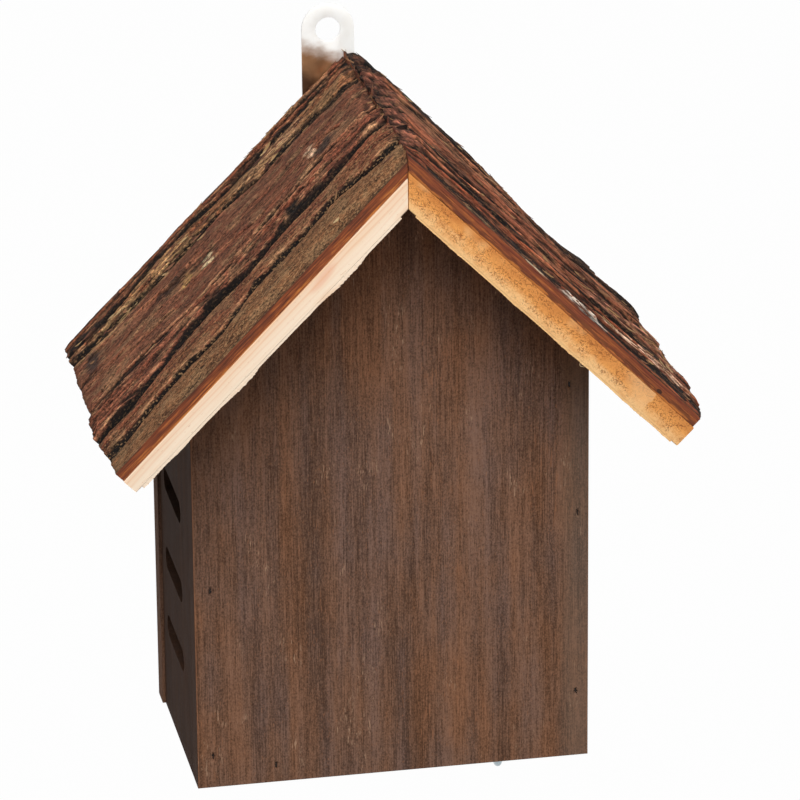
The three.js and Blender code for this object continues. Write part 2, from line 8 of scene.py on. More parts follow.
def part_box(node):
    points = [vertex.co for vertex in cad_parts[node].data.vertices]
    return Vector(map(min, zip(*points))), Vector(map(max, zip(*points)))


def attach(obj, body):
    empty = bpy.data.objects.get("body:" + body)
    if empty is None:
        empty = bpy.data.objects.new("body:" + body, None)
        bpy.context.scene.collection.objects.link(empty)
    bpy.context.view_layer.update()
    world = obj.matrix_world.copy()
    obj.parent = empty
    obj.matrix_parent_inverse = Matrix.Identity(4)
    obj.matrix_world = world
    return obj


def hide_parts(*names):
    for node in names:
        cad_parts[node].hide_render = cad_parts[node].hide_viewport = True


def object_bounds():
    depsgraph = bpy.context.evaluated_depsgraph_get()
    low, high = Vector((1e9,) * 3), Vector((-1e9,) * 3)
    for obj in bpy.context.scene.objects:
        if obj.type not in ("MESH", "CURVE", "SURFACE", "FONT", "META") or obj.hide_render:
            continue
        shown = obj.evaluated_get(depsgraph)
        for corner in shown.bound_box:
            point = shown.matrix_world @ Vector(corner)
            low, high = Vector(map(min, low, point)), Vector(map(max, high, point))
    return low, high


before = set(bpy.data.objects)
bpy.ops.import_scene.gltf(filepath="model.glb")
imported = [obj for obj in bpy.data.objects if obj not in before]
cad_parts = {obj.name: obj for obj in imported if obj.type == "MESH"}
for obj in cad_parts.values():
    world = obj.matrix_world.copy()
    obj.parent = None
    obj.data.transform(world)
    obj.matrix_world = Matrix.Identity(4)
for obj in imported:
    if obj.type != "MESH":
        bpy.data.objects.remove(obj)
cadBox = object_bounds()
scene = bpy.context.scene
scene.view_settings.view_transform = "Standard"
print("frame loaded:", len(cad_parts), "nodes")

mm = 0.001
cos45 = math.sqrt(0.5)
ridgeHeight = 238.5
ridgeOut = ridgeHeight * cos45


def addObject(name, data):
    made = bpy.data.objects.new(name, data)
    scene.collection.objects.link(made)
    return made


# camera, fitted to the edges of the boards
view = {
    "place": (-0.36115, -2.00344, 0.91427),
    "yaw": math.radians(10.764),
    "pitch": math.radians(21.361),
    "roll": math.radians(-0.530),
    "lens": 255.84,
}


def addCamera():
    cy, sy = math.cos(view["yaw"]), math.sin(view["yaw"])
    cp, sp = math.cos(view["pitch"]), math.sin(view["pitch"])
    cr, sr = math.cos(view["roll"]), math.sin(view["roll"])
    forward = Vector((sy * cp, cy * cp, -sp))
    level = Vector((cy, -sy, 0))
    upright = level.cross(forward)
    right = cr * level + sr * upright
    up = cr * upright - sr * level
    data = bpy.data.cameras.new("camera")
    data.sensor_width = 36
    data.lens = view["lens"]
    data.clip_end = 20
    scene.camera = addObject("camera", data)
    turn = Matrix((right, up, -forward)).transposed().to_4x4()
    scene.camera.matrix_world = Matrix.Translation(view["place"]) @ turn


addCamera()


def linear(value):
    # a colour value from 0 to 255, as a screen shows it, turned into a linear one
    part = np.clip(np.asarray(value, float) / 255, 0, 1)
    return np.where(part <= 0.04045, part / 12.92, ((part + 0.055) / 1.055) ** 2.4)


def tint(red, green, blue):
    return (*linear((red, green, blue)).tolist(), 1)


class Wire:
    # one output of a node, with the sums that the finishes use

    def __init__(self, nodes, socket):
        self.nodes = nodes
        self.socket = socket

    def other(self, name):
        # another output of the same node
        return Wire(self.nodes, self.socket.node.outputs[name])

    def calc(self, operation, *others):
        return self.nodes.node("ShaderNodeMath", {"operation": operation}, [self, *others])

    def __add__(self, other):
        return self.calc("ADD", other)

    def __sub__(self, other):
        return self.calc("SUBTRACT", other)

    def __mul__(self, other):
        return self.calc("MULTIPLY", other)


class Nodes:
    # a node tree to which nodes are added one call at a time

    def __init__(self, tree):
        self.tree = tree
        tree.nodes.clear()

    def node(self, kind, settings=None, inputs=None, output=0):
        made = self.tree.nodes.new(kind)
        for name, value in (settings or {}).items():
            setattr(made, name, value)
        pairs = inputs.items() if isinstance(inputs, dict) else enumerate(inputs or [])
        for key, value in pairs:
            if isinstance(value, Wire):
                self.tree.links.new(value.socket, made.inputs[key])
            else:
                made.inputs[key].default_value = value
        return Wire(self, made.outputs[output]) if len(made.outputs) else None


class Finish(Nodes):
    # a material, whose patterns have sizes in millimetres and are turned together

    def __init__(self, name, turn=(0, 0, 0), placeName=None):
        self.material = bpy.data.materials.new(name)
        self.material.use_nodes = True
        super().__init__(self.material.node_tree)
        self.turn = turn
        self.placeName = placeName
        self.tone = None

    def attribute(self, name, output):
        return self.node("ShaderNodeAttribute", {"attribute_name": name}, output=output)

    def place(self, sizes, turn):
        if self.placeName:
            coords = self.attribute(self.placeName, "Vector")
        else:
            coords = self.node("ShaderNodeTexCoord", output="Object")
        turned = self.node("ShaderNodeMapping", inputs={"Vector": coords, "Rotation": turn or self.turn})
        scale = tuple(1000 / size for size in sizes)
        return self.node("ShaderNodeMapping", inputs={"Vector": turned, "Scale": scale})

    def noise(self, sizes, detail=2.0, roughness=0.5, distortion=0.0, turn=None):
        inputs = {
            "Vector": self.place(sizes, turn),
            "Scale": 1.0,
            "Detail": detail,
            "Roughness": roughness,
            "Distortion": distortion,
        }
        return self.node("ShaderNodeTexNoise", inputs=inputs, output="Fac")

    def axis(self, name, turn=None):
        return self.node("ShaderNodeSeparateXYZ", inputs=[self.place((1, 1, 1), turn)], output=name)

    def ramp(self, factor, *stops):
        made = self.node("ShaderNodeValToRGB", inputs=[factor])
        elements = made.socket.node.color_ramp.elements
        while len(elements) < len(stops):
            elements.new(1)
        for element, (position, colour) in zip(elements, stops):
            element.position = position
            element.color = colour
        return made

    def span(self, value, low, high, outLow=0.0, outHigh=1.0):
        # low to high becomes outLow to outHigh, and stays there beyond them
        inputs = {"Value": value, "From Min": low, "From Max": high, "To Min": outLow, "To Max": outHigh}
        return self.node("ShaderNodeMapRange", {"interpolation_type": "SMOOTHSTEP"}, inputs)

    def paint(self, amount, colour, blend="MIX"):
        # lays a colour over the tone so far
        settings = {"data_type": "RGBA", "blend_type": blend}
        self.tone = self.node("ShaderNodeMix", settings, {0: amount, 6: self.tone, 7: colour}, 2)

    def shade(self, light):
        # makes the tone so far lighter or darker
        self.paint(1.0, self.node("ShaderNodeCombineColor", inputs=[light, light, light]), "MULTIPLY")

    def bump(self, height, depth, strength=1.0):
        inputs = {"Height": height, "Distance": depth * mm, "Strength": strength}
        return self.node("ShaderNodeBump", inputs=inputs, output="Normal")

    def close(self, roughness, normal=None, specular=0.5, metallic=0.0):
        inputs = {"Base Color": self.tone, "Roughness": roughness, "Specular IOR Level": specular}
        inputs["Metallic"] = metallic
        if normal:
            inputs["Normal"] = normal
        shader = self.node("ShaderNodeBsdfPrincipled", inputs=inputs, output="BSDF")
        self.node("ShaderNodeOutputMaterial", inputs={"Surface": shader})
        return self.material


# stained boards: fine upright fibres, broad bands of redder and greyer stain, a few pale scuffs
stain = {
    "cool": tint(106, 82, 71),
    "brown": tint(111, 82, 66),
    "orange": tint(117, 82, 61),
    "pale": tint(172, 138, 112),
    "warm": tint(150, 102, 74),
    "dark": tint(48, 34, 27),
    "margin": tint(112, 98, 86),
}


def stainedBoard(name, turn=(0, 0, 0), depth=0.0, margin=None, shine=0.03, edge=0.0):
    finish = Finish(name, turn)
    noise, span, paint = finish.noise, finish.span, finish.paint
    bands = noise((17, 17, 190), 2, 0.55)
    clouds = noise((30, 30, 44), 3, 0.5)
    streaks = noise((1.9, 1.9, 60), 3, 0.65)
    fibres = noise((0.5, 0.5, 11), 3, 0.7)
    grit = noise((0.6, 0.6, 0.8), 2, 0.6)
    hue = noise((7, 7, 130), 2, 0.5) * 0.5 + clouds * 0.5
    finish.tone = finish.ramp(hue, (0.38, stain["cool"]), (0.5, stain["brown"]), (0.62, stain["orange"]))
    threads = noise((0.6, 0.6, 40), 2, 0.5)
    weave = fibres * 0.58 + threads * 0.16 + grit * 0.42 + (streaks - 0.5) * 0.26 + (bands - 0.5) * 0.4
    finish.shade(span(weave, 0.4, 0.76, 0.48, 1.52))
    lines = noise((0.9, 0.9, 120), 2, 0.4)
    paint(span(lines, 0.29, 0.22, 0, 0.5), stain["dark"])
    warm = span(noise((0.7, 0.7, 7), 2, 0.6), 0.6, 0.72) * span(clouds, 0.5, 0.64)
    paint(warm * 0.6, stain["warm"])
    scuffs = noise((0.55, 0.55, 3.6), 2, 0.6)
    groups = noise((10, 10, 16), 2, 0.5)
    paint(span(scuffs, 0.57, 0.7) * span(groups, 0.58, 0.7) * 0.8, stain["pale"])
    pores = noise((0.45, 0.45, 1.4), 2, 0.6)
    paint(span(pores, 0.4, 0.3, 0, 0.5), stain["dark"])
    sparks = noise((0.5, 0.5, 1.6), 2, 0.6, turn=(turn[0], turn[1], turn[2] + 0.7))
    paint(span(sparks, 0.6, 0.72, 0, 0.5), stain["warm"])
    # depth darkens the whole stain evenly; on the side walls it is painted shade, a darker copy of the same
    # stain
    if depth:
        paint(depth, stain["dark"])
    if edge:
        # a warm line and a dark arris along the panel's upright edges
        reach = finish.axis("X").calc("ABSOLUTE")
        paint(span(reach, edge - 0.6, edge - 0.3, 0, 0.5), stain["warm"])
        paint(span(reach, edge - 0.12, edge - 0.04, 0, 0.85), stain["dark"])
    if margin:
        paint(span(finish.axis("X") + clouds * 8, margin[0], margin[1], 0, 0.35), stain["margin"])
    height = fibres * 0.6 + streaks * 0.4 + threads * 0.3 + grit * 0.4
    return finish.close(span(fibres, 0.3, 0.7, 0.6, 0.8), finish.bump(height, 0.3, 0.8), shine)


# bare sawn wood of the roof slabs, with its grain along the slope
paleWood = {
    "cream": tint(247, 225, 200),
    "ring": tint(236, 190, 150),
    "deep": tint(205, 150, 108),
    "smudge": tint(234, 176, 144),
    "smudgeAt": (-31, 5.2),
    "smudgeReach": (5.5, 2.2),
    "ringGap": 2.1,
}
orangeWood = {
    "light": tint(244, 196, 136),
    "mid": tint(234, 163, 88),
    "deep": tint(198, 122, 58),
    "speck": tint(120, 62, 26),
    "wedge": tint(246, 200, 146),
    "wedgeSpan": (116.5, 120.5, 3.6),
}


def slopeTurn(side):
    # turns coordinates so that X runs along the slope and Z stands out from it
    return (0, -side * math.pi / 4, 0)


def paleSawnWood(name):
    finish = Finish(name, slopeTurn(-1))
    noise, span, paint = finish.noise, finish.span, finish.paint
    out = finish.axis("Z") - ridgeOut
    wander = noise((45, 30, 6), 2, 0.5)
    rings = (out * (2 * math.pi / paleWood["ringGap"]) + wander * 9).calc("SINE")
    fibres = noise((7, 0.7, 0.28), 2, 0.6)
    clouds = noise((22, 20, 5), 2, 0.5)
    late = span(rings + fibres * 0.8, 0.5, 1.5)
    high = span(out + clouds * 3, 3.0, 8.5)
    finish.tone = paleWood["cream"]
    paint(high * 0.45, paleWood["ring"])
    paint(late * (high * 0.6 + 0.15), paleWood["ring"])
    paint(span(clouds, 0.55, 0.8, 0, 0.5), paleWood["ring"])
    specks = noise((1.6, 0.6, 0.4), 1, 0.5)
    paint(span(specks, 0.72, 0.8, 0, 0.6), paleWood["deep"])
    (x, z), (reachX, reachZ) = paleWood["smudgeAt"], paleWood["smudgeReach"]
    across = (finish.axis("X", (0, 0, 0)) - x) * (1 / reachX)
    above = (out - z) * (1 / reachZ)
    near = span(across * across + above * above + clouds * 1.6, 1.9, 0.7)
    paint(near * 0.6, paleWood["smudge"])
    saw = noise((0.5, 0.5, 4), 2, 0.5)
    return finish.close(0.72, finish.bump(fibres * 0.5 + saw * 0.3 + rings * 0.06, 0.18, 0.6), 0.3)


def orangeSawnWood(name):
    turn = slopeTurn(1)
    finish = Finish(name, turn)
    noise, span, paint = finish.noise, finish.span, finish.paint
    out = finish.axis("Z") - ridgeOut
    clouds = noise((16, 16, 5), 3, 0.55)
    fibres = noise((6, 0.7, 0.3), 2, 0.6)
    value = span(out, 0.4, 9.6) * 0.5 + clouds * 0.55 + fibres * 0.22
    stops = (0.3, orangeWood["light"]), (0.56, orangeWood["mid"]), (0.86, orangeWood["deep"])
    finish.tone = finish.ramp(value * 0.85, *stops)
    groups = noise((7, 7, 4), 2, 0.5)
    away = span(out, 0.6, 3.0, 0.25, 1)
    for lean, size in ((0.5, 1.9), (-0.6, 1.5)):
        specks = noise((size, 0.7, 0.62), 2, 0.6, 1.2, (turn[0], turn[1] + lean, 0))
        paint(span(specks, 0.56, 0.62) * span(groups, 0.3, 0.52) * away * 0.72, orangeWood["speck"])
    dashes = noise((1.1, 0.6, 0.5), 2, 0.6, 1.4, (turn[0], turn[1] + 1.3, 0))
    paint(span(dashes, 0.53, 0.62) * away * 0.6, orangeWood["deep"])
    paint(span(noise((5, 5, 3), 3, 0.6), 0.5, 0.7) * 0.35, orangeWood["deep"])
    paint(span(noise((13, 13, 9), 1, 0.5), 0.62, 0.78) * 0.5, orangeWood["light"])
    along = finish.axis("X") + ridgeOut + (noise((3, 3, 3), 1, 0.5) - 0.5) * 3
    start, end, foot = orangeWood["wedgeSpan"]
    wedge = span(along + out * 0.8, start - 7, start + 2) * span(along, end, end - 0.6)
    paint(wedge * span(out, foot - 3, foot) * 0.4, orangeWood["wedge"])
    paint(span(out, 1.1, -0.1, 0, 0.6), orangeWood["light"])
    saw = noise((0.45, 0.5, 3), 2, 0.5)
    return finish.close(0.74, finish.bump(saw * 0.6 + fibres * 0.4, 0.25, 0.7), 0.3)


# bark: the skin takes its tone from the relief, and the sawn faces show the inner layers
barkGrain = {
    "grain": tint(176, 136, 96),
    "sootAndShade": tint(30, 20, 15),
    "left": {
        "fine": (0.8, 0.65, 0.8),
        "threads": (7, 0.7, 0.9),
        "pits": (1.3, 0.7, 1.0),
        "hairs": (20, 1.1, 0.8),
        "shares": (0.84, 0.05, 0.36),
        "relief": (0.7, 0.1, 0.7, 0.15),
        "lined": 0.4,
    },
    "right": {
        "fine": (1.4, 2.4, 0.5),
        "threads": (9, 5, 0.55),
        "pits": (1.8, 2.6, 0.5),
        "hairs": (22, 7, 0.5),
        "shares": (0.5, 0.45, 0.3),
        "relief": (0.6, 0.5, 0.6, 0.5),
        "lined": 0.8,
    },
}


def barkSkin(name, side):
    # barkPlace is (down the slope, across it, out from it)
    sizes = barkGrain[side]
    finish = Finish(name, placeName="barkPlace")
    noise, span, paint = finish.noise, finish.span, finish.paint
    finish.tone = finish.attribute("barkTone", "Color")
    sand = finish.attribute("barkSand", "Fac")
    fine = noise(sizes["fine"], 4, 0.7, 0.4)
    threads = noise(sizes["threads"], 3, 0.65, 0.3, (0, 0, 0.05))
    blotch = noise((5, 2.4, 3), 3, 0.6, 0.5)
    forFine, forThreads, forBlotch = sizes["shares"]
    light = fine * forFine + threads * forThreads + blotch * forBlotch
    finish.shade(span(light, 0.46, 0.8, 0.2, 1.95))
    grains = noise((0.7, 0.7, 0.7), 1, 0.5)
    paint(span(grains, 0.56, 0.68, 0, 0.8) * sand, barkGrain["grain"])
    pits = noise(sizes["pits"], 3, 0.65, 0.6)
    paint(span(pits, 0.41, 0.31, 0, 0.85), barkGrain["sootAndShade"])
    hairs = noise(sizes["hairs"], 2, 0.5, 0.5, (0, 0, 0.02))
    broken = noise((12, 6, 4), 1, 0.5)
    paint(span(hairs, 0.38, 0.31) * span(broken, 0.42, 0.56) * sizes["lined"], barkGrain["sootAndShade"])
    low, long, deep, thin = sizes["relief"]
    height = fine * low + threads * long + pits * deep + hairs * thin + grains * 0.25
    return finish.close(0.9, finish.bump(height, 1.0, 1.1), 0.2)


innerBark = {
    "left": {"low": tint(196, 118, 56), "mid": tint(136, 68, 36), "high": tint(84, 44, 29)},
    "right": {"low": tint(196, 118, 56), "mid": tint(154, 84, 46), "high": tint(112, 54, 38)},
    "layer": tint(84, 42, 30),
    "layerAt": (0.7, 1.5),
    "layerDark": {"left": 0.0, "right": 0.7},
    "knotAt": (120.2, 10.8),
    "knotShape": (0.8, 1.3),
}


def barkCut(name, side):
    finish = Finish(name, slopeTurn(-1 if side == "left" else 1))
    noise, span, paint = finish.noise, finish.span, finish.paint
    tones = innerBark[side]
    layer = finish.attribute("barkLayer", "Fac")
    lines = span(noise((22, 5, 0.5), 3, 0.65), 0.34, 0.66)
    blotch = span(noise((9, 7, 1.6), 3, 0.6), 0.34, 0.66)
    value = layer * 0.1 + lines * 0.4 + blotch * 0.26
    finish.tone = finish.ramp(value, (0.16, tones["low"]), (0.44, tones["mid"]), (0.86, tones["high"]))
    wavy = layer + (blotch - 0.5) * 1.2
    start, end = innerBark["layerAt"]
    band = span(wavy, start - 0.5, start) * span(wavy, end + 0.6, end)
    paint(band * innerBark["layerDark"][side], innerBark["layer"])
    if side == "right":
        (knotAlong, knotOut), (long, high) = innerBark["knotAt"], innerBark["knotShape"]
        awayAlong = (finish.axis("X") + (ridgeOut - knotAlong)) * long
        awayOut = (finish.axis("Z") - (ridgeOut + knotOut)) * high
        knot = span(awayAlong * awayAlong + awayOut * awayOut + lines * 0.5, 1.4, 0.8)
        paint(knot * 0.85, barkGrain["sootAndShade"])
    cracks = noise((12, 4, 0.34), 3, 0.6)
    paint(span(cracks, 0.4, 0.3, 0, 0.75), barkGrain["sootAndShade"])
    return finish.close(0.78, finish.bump(lines * 0.7 + cracks * 0.6, 0.4, 0.8), 0.3)


chipTones = {
    0.0: tint(48, 31, 25),
    0.35: tint(98, 62, 48),
    0.62: tint(132, 92, 66),
    0.85: tint(158, 122, 82),
    1.0: tint(190, 164, 122),
}


def barkChip(name):
    finish = Finish(name)
    fine = finish.noise((0.8, 0.4, 0.8), 2, 0.6)
    value = finish.attribute("chipTone", "Fac") * 0.86 + fine * 0.2
    finish.tone = finish.ramp(value, *chipTones.items())
    return finish.close(0.88, finish.bump(fine, 0.2, 0.7), 0.25)


def plainMetal(name, light, dark, roughness, grain, metallic=1.0):
    finish = Finish(name)
    spangle = finish.noise((grain, grain, grain), 3, 0.6)
    wear = finish.noise((grain * 0.2, grain * 0.2, grain * 0.2), 2, 0.5)
    finish.tone = finish.ramp(spangle * 0.7 + wear * 0.3, (0.35, dark), (0.65, light))
    rough = finish.span(spangle, 0.3, 0.7, roughness - 0.06, roughness + 0.08)
    return finish.close(rough, finish.bump(wear, 0.02, 0.4), metallic=metallic)


# galvanised strap: near white, with a painted brown reflection of the bark just above the roof and painted
# dark shade and reflection right at the bark's edge
strapTones = {
    "light": tint(255, 254, 251),
    "dull": tint(252, 250, 245),
    # the stain entry is a painted reflection of the bark, the next entry painted shade and reflection at the
    # bark
    "stain": {"colour": tint(170, 126, 90), "slant": 0.45, "span": (258.5, 249.5)},
    "sootAndShade": {"colour": tint(70, 46, 36), "slant": 0.75, "span": (243, 235)},
}


def strapMetal(name):
    finish = Finish(name)
    spangle = finish.noise((5, 5, 5), 3, 0.6)
    finish.tone = finish.ramp(spangle, (0.35, strapTones["dull"]), (0.6, strapTones["light"]))
    cloud = (finish.noise((6, 6, 4), 3, 0.6, turn=(0, 0, 0.3)) - 0.5) * 7

    def below(mark):
        return finish.span(finish.axis("Z") + finish.axis("X") * mark["slant"] + cloud, *mark["span"])

    # painted brown reflection of the bark on the lower strap, which is also made more metallic there
    paintedBarkReflection = below(strapTones["stain"])
    finish.paint(paintedBarkReflection, strapTones["stain"]["colour"])
    # painted dark shade and reflection right where the strap meets the bark
    finish.paint(below(strapTones["sootAndShade"]) * 0.85, strapTones["sootAndShade"]["colour"])
    scratches = finish.noise((0.5, 0.5, 14), 2, 0.5)
    rough = finish.span(spangle, 0.3, 0.7, 0.32, 0.46) + paintedBarkReflection * 0.1
    return finish.close(rough, finish.bump(scratches, 0.03, 0.4), metallic=paintedBarkReflection * 0.8 + 0.1)


def fibreFinish(name, colour, dark):
    finish = Finish(name)
    finish.tone = finish.ramp(finish.noise((0.6, 0.6, 2.5), 2, 0.5), (0.3, dark), (0.7, colour))
    return finish.close(0.8, specular=0.3)


alongX = (0, math.pi / 2, 0)
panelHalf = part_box("front_panel")[1][0] / mm
finishes = {
    "front": stainedBoard("stainedFront", margin=(66, 73), edge=panelHalf),
    "back": stainedBoard("stainedBack", (0, 0, 2.1), 0.1),
    # the side walls get a darker copy of the stain as painted shade
    "side": stainedBoard("stainedSide", (0, 0, 1.1), 0.76, shine=0.02),
    "flap": stainedBoard("stainedFlap", alongX, 0.15),
    "pale": paleSawnWood("paleSawnWood"),
    "orange": orangeSawnWood("orangeSawnWood"),
    "skinLeft": barkSkin("barkSkinLeft", "left"),
    "skinRight": barkSkin("barkSkinRight", "right"),
    "cutLeft": barkCut("innerBarkLeft", "left"),
    "cutRight": barkCut("innerBarkRight", "right"),
    "chip": barkChip("barkChips"),
    "strap": strapMetal("galvanisedStrap"),
    "wire": plainMetal("zincWire", tint(190, 202, 206), tint(150, 162, 168), 0.28, 2),
    "screw": plainMetal("zincScrew", tint(204, 206, 204), tint(160, 162, 162), 0.3, 2),
    "brad": plainMetal("darkBrad", tint(46, 36, 31), tint(26, 21, 18), 0.6, 1, 0.3),
    "fibre": fibreFinish("woodFibre", tint(232, 208, 168), tint(196, 160, 110)),
}
print("finishes made:", len(finishes))


def gridFaces(rows, columns, start=0, wrapRows=False, wrapColumns=False):
    # the faces between points that are listed row by row
    faces = []
    for i in range(rows if wrapRows else rows - 1):
        for j in range(columns if wrapColumns else columns - 1):
            corners = (i, j), (i + 1, j), (i + 1, j + 1), (i, j + 1)
            faces.append([start + (a % rows) * columns + b % columns for a, b in corners])
    return faces


def gridRim(rows, columns):
    # the points round the edge of a grid, once round
    last, end = rows - 1, columns - 1
    rimHighlight = [(i, 0) for i in range(last)] + [(last, j) for j in range(end)]
    return rimHighlight + [(i, end) for i in range(last, 0, -1)] + [(0, j) for j in range(end, 0, -1)]


def addMesh(name, points, faces, *materials):
    # points in metres; the faces are turned outwards
    mesh = bpy.data.meshes.new(name)
    mesh.from_pydata(points, [], faces)
    for material in materials:
        mesh.materials.append(material)
    edit = bmesh.new()
    edit.from_mesh(mesh)
    bmesh.ops.recalc_face_normals(edit, faces=edit.faces)
    edit.to_mesh(mesh)
    edit.free()
    return addObject(name, mesh)


# boards and metal pieces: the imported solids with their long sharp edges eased
easing = {
    "radius": 0.45,
    "shortest": 12,
    "angle": math.radians(30),
    "smooth": math.radians(32),
    "flat": math.radians(0.3),
    "merge": 2e-6,
    "shape": {"segments": 2, "profile": 0.6, "affect": "EDGES", "clamp_overlap": True},
}


def easedCopy(node, finish, body, radius=easing["radius"], shortest=easing["shortest"], rounded=False):
    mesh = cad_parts[node].data.copy()
    mesh.name = node + "Eased"
    edit = bmesh.new()
    edit.from_mesh(mesh)
    bmesh.ops.remove_doubles(edit, verts=edit.verts, dist=easing["merge"])
    bmesh.ops.dissolve_limit(edit, angle_limit=easing["flat"], verts=edit.verts, edges=edit.edges)
    sharp = [
        edge for edge in edit.edges
        if len(edge.link_faces) == 2
        and edge.calc_face_angle(0) > easing["angle"]
        and edge.calc_length() > shortest * mm
    ]
    if radius > 0:
        bmesh.ops.bevel(edit, geom=sharp, offset=radius * mm, **easing["shape"])
    bmesh.ops.triangulate(edit, faces=[face for face in edit.faces if len(face.verts) > 4])
    edit.to_mesh(mesh)
    edit.free()
    mesh.materials.clear()
    mesh.materials.append(finish)
    if rounded:
        mesh.shade_smooth()
        mesh.set_sharp_from_angle(angle=easing["smooth"])
    else:
        mesh.shade_flat()
    piece = addObject(node + "Eased", mesh)
    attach(piece, body)
    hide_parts(node)
    return piece


# loose fields of noise for the bark's relief
def lattice(x, y, seed):
    size = 96
    table = np.random.default_rng(seed).random((size, size))
    xLow, yLow = np.floor(x), np.floor(y)
    xPart, yPart = x - xLow, y - yLow
    xPart = xPart * xPart * (3 - 2 * xPart)
    yPart = yPart * yPart * (3 - 2 * yPart)
    x0, y0 = xLow.astype(int) % size, yLow.astype(int) % size
    x1, y1 = (x0 + 1) % size, (y0 + 1) % size
    low = table[x0, y0] * (1 - xPart) + table[x1, y0] * xPart
    high = table[x0, y1] * (1 - xPart) + table[x1, y1] * xPart
    return low * (1 - yPart) + high * yPart


def field(x, y, seed, octaves=3, gain=0.5):
    total, weight, amount = 0.0, 0.0, 1.0
    for octave in range(octaves):
        total = total + amount * lattice(x + 13.7 * octave, y + 7.1 * octave, seed + octave)
        weight += amount
        x, y, amount = x * 2.03, y * 2.03, amount * gain
    return total / weight


def ease(value, low=0.0, high=1.0):
    part = np.clip((value - low) / (high - low), 0, 1)
    return part * part * (3 - 2 * part)


def lineDistance(points, along, across):
    best = np.full(along.shape, 1e9)
    for (a0, c0), (a1, c1) in zip(points[:-1], points[1:]):
        da, dc = a1 - a0, c1 - c0
        t = np.clip(((along - a0) * da + (across - c0) * dc) / (da * da + dc * dc), 0, 1)
        best = np.minimum(best, np.hypot(along - a0 - t * da, across - c0 - t * dc))
    return best


# bark of the two slabs, in millimetres; plates are listed from the front to the rear, a crack has
# its points (down the slope, across it), width and depth, and a patch its middle, reach and tone
barkShared = {
    "depth": 127.8,
    "front": -123.3,
    "thickness": 9,
    "lip": 4.3,
    "stations": [0, 0.14, 0.28, 0.42, 0.56, 0.7, 0.85, 1],
    "ledges": [0.55, 0.45, 0.5, 0.6, 0.4, 0.5],
    "rows": 304,
    "columns": 316,
    "ridgeChips": 0.42,
    "furrowHalf": 1.9,
    "ridgeDrops": [0.4, 0.8, 1, 1, 1, 1],
    "tornTone": (112.0, 69.0, 55.0),
    "bareTone": (104.0, 56.0, 40.0),
    "crustTone": (134.0, 108.0, 78.0),
    "rimHighlightTone": (186.0, 146.0, 106.0),
    "cutTone": (110.0, 60.0, 44.0),
    "furrowWave": 0.7,
    "waves": 1.7,
    "phase": 2.4,
    "frontLedge": 5.8,
    "floorShare": 0.4,
    "layers": 7,
    "splits": ((60, 4.4, 30), (34, 2.2, 34)),
    "scaleDepth": 2.2,
    "least": 1.2,
    "wearAndPaintedLightShares": (1.0, 0.34),
    "wearAndPaintedLightSpan": (-0.85, 0.5),
    "darkest": 0.86,
    "smooth": math.radians(60),
    "sightRise": 0.404,
    "crackShift": 1.3,
    "mitreGap": 0.22,
    "boardGap": 0.1,
    "boxGap": 0.05,
    "raggedAt": [0, 20, 36, 56, 80, 104, 127.8],
}
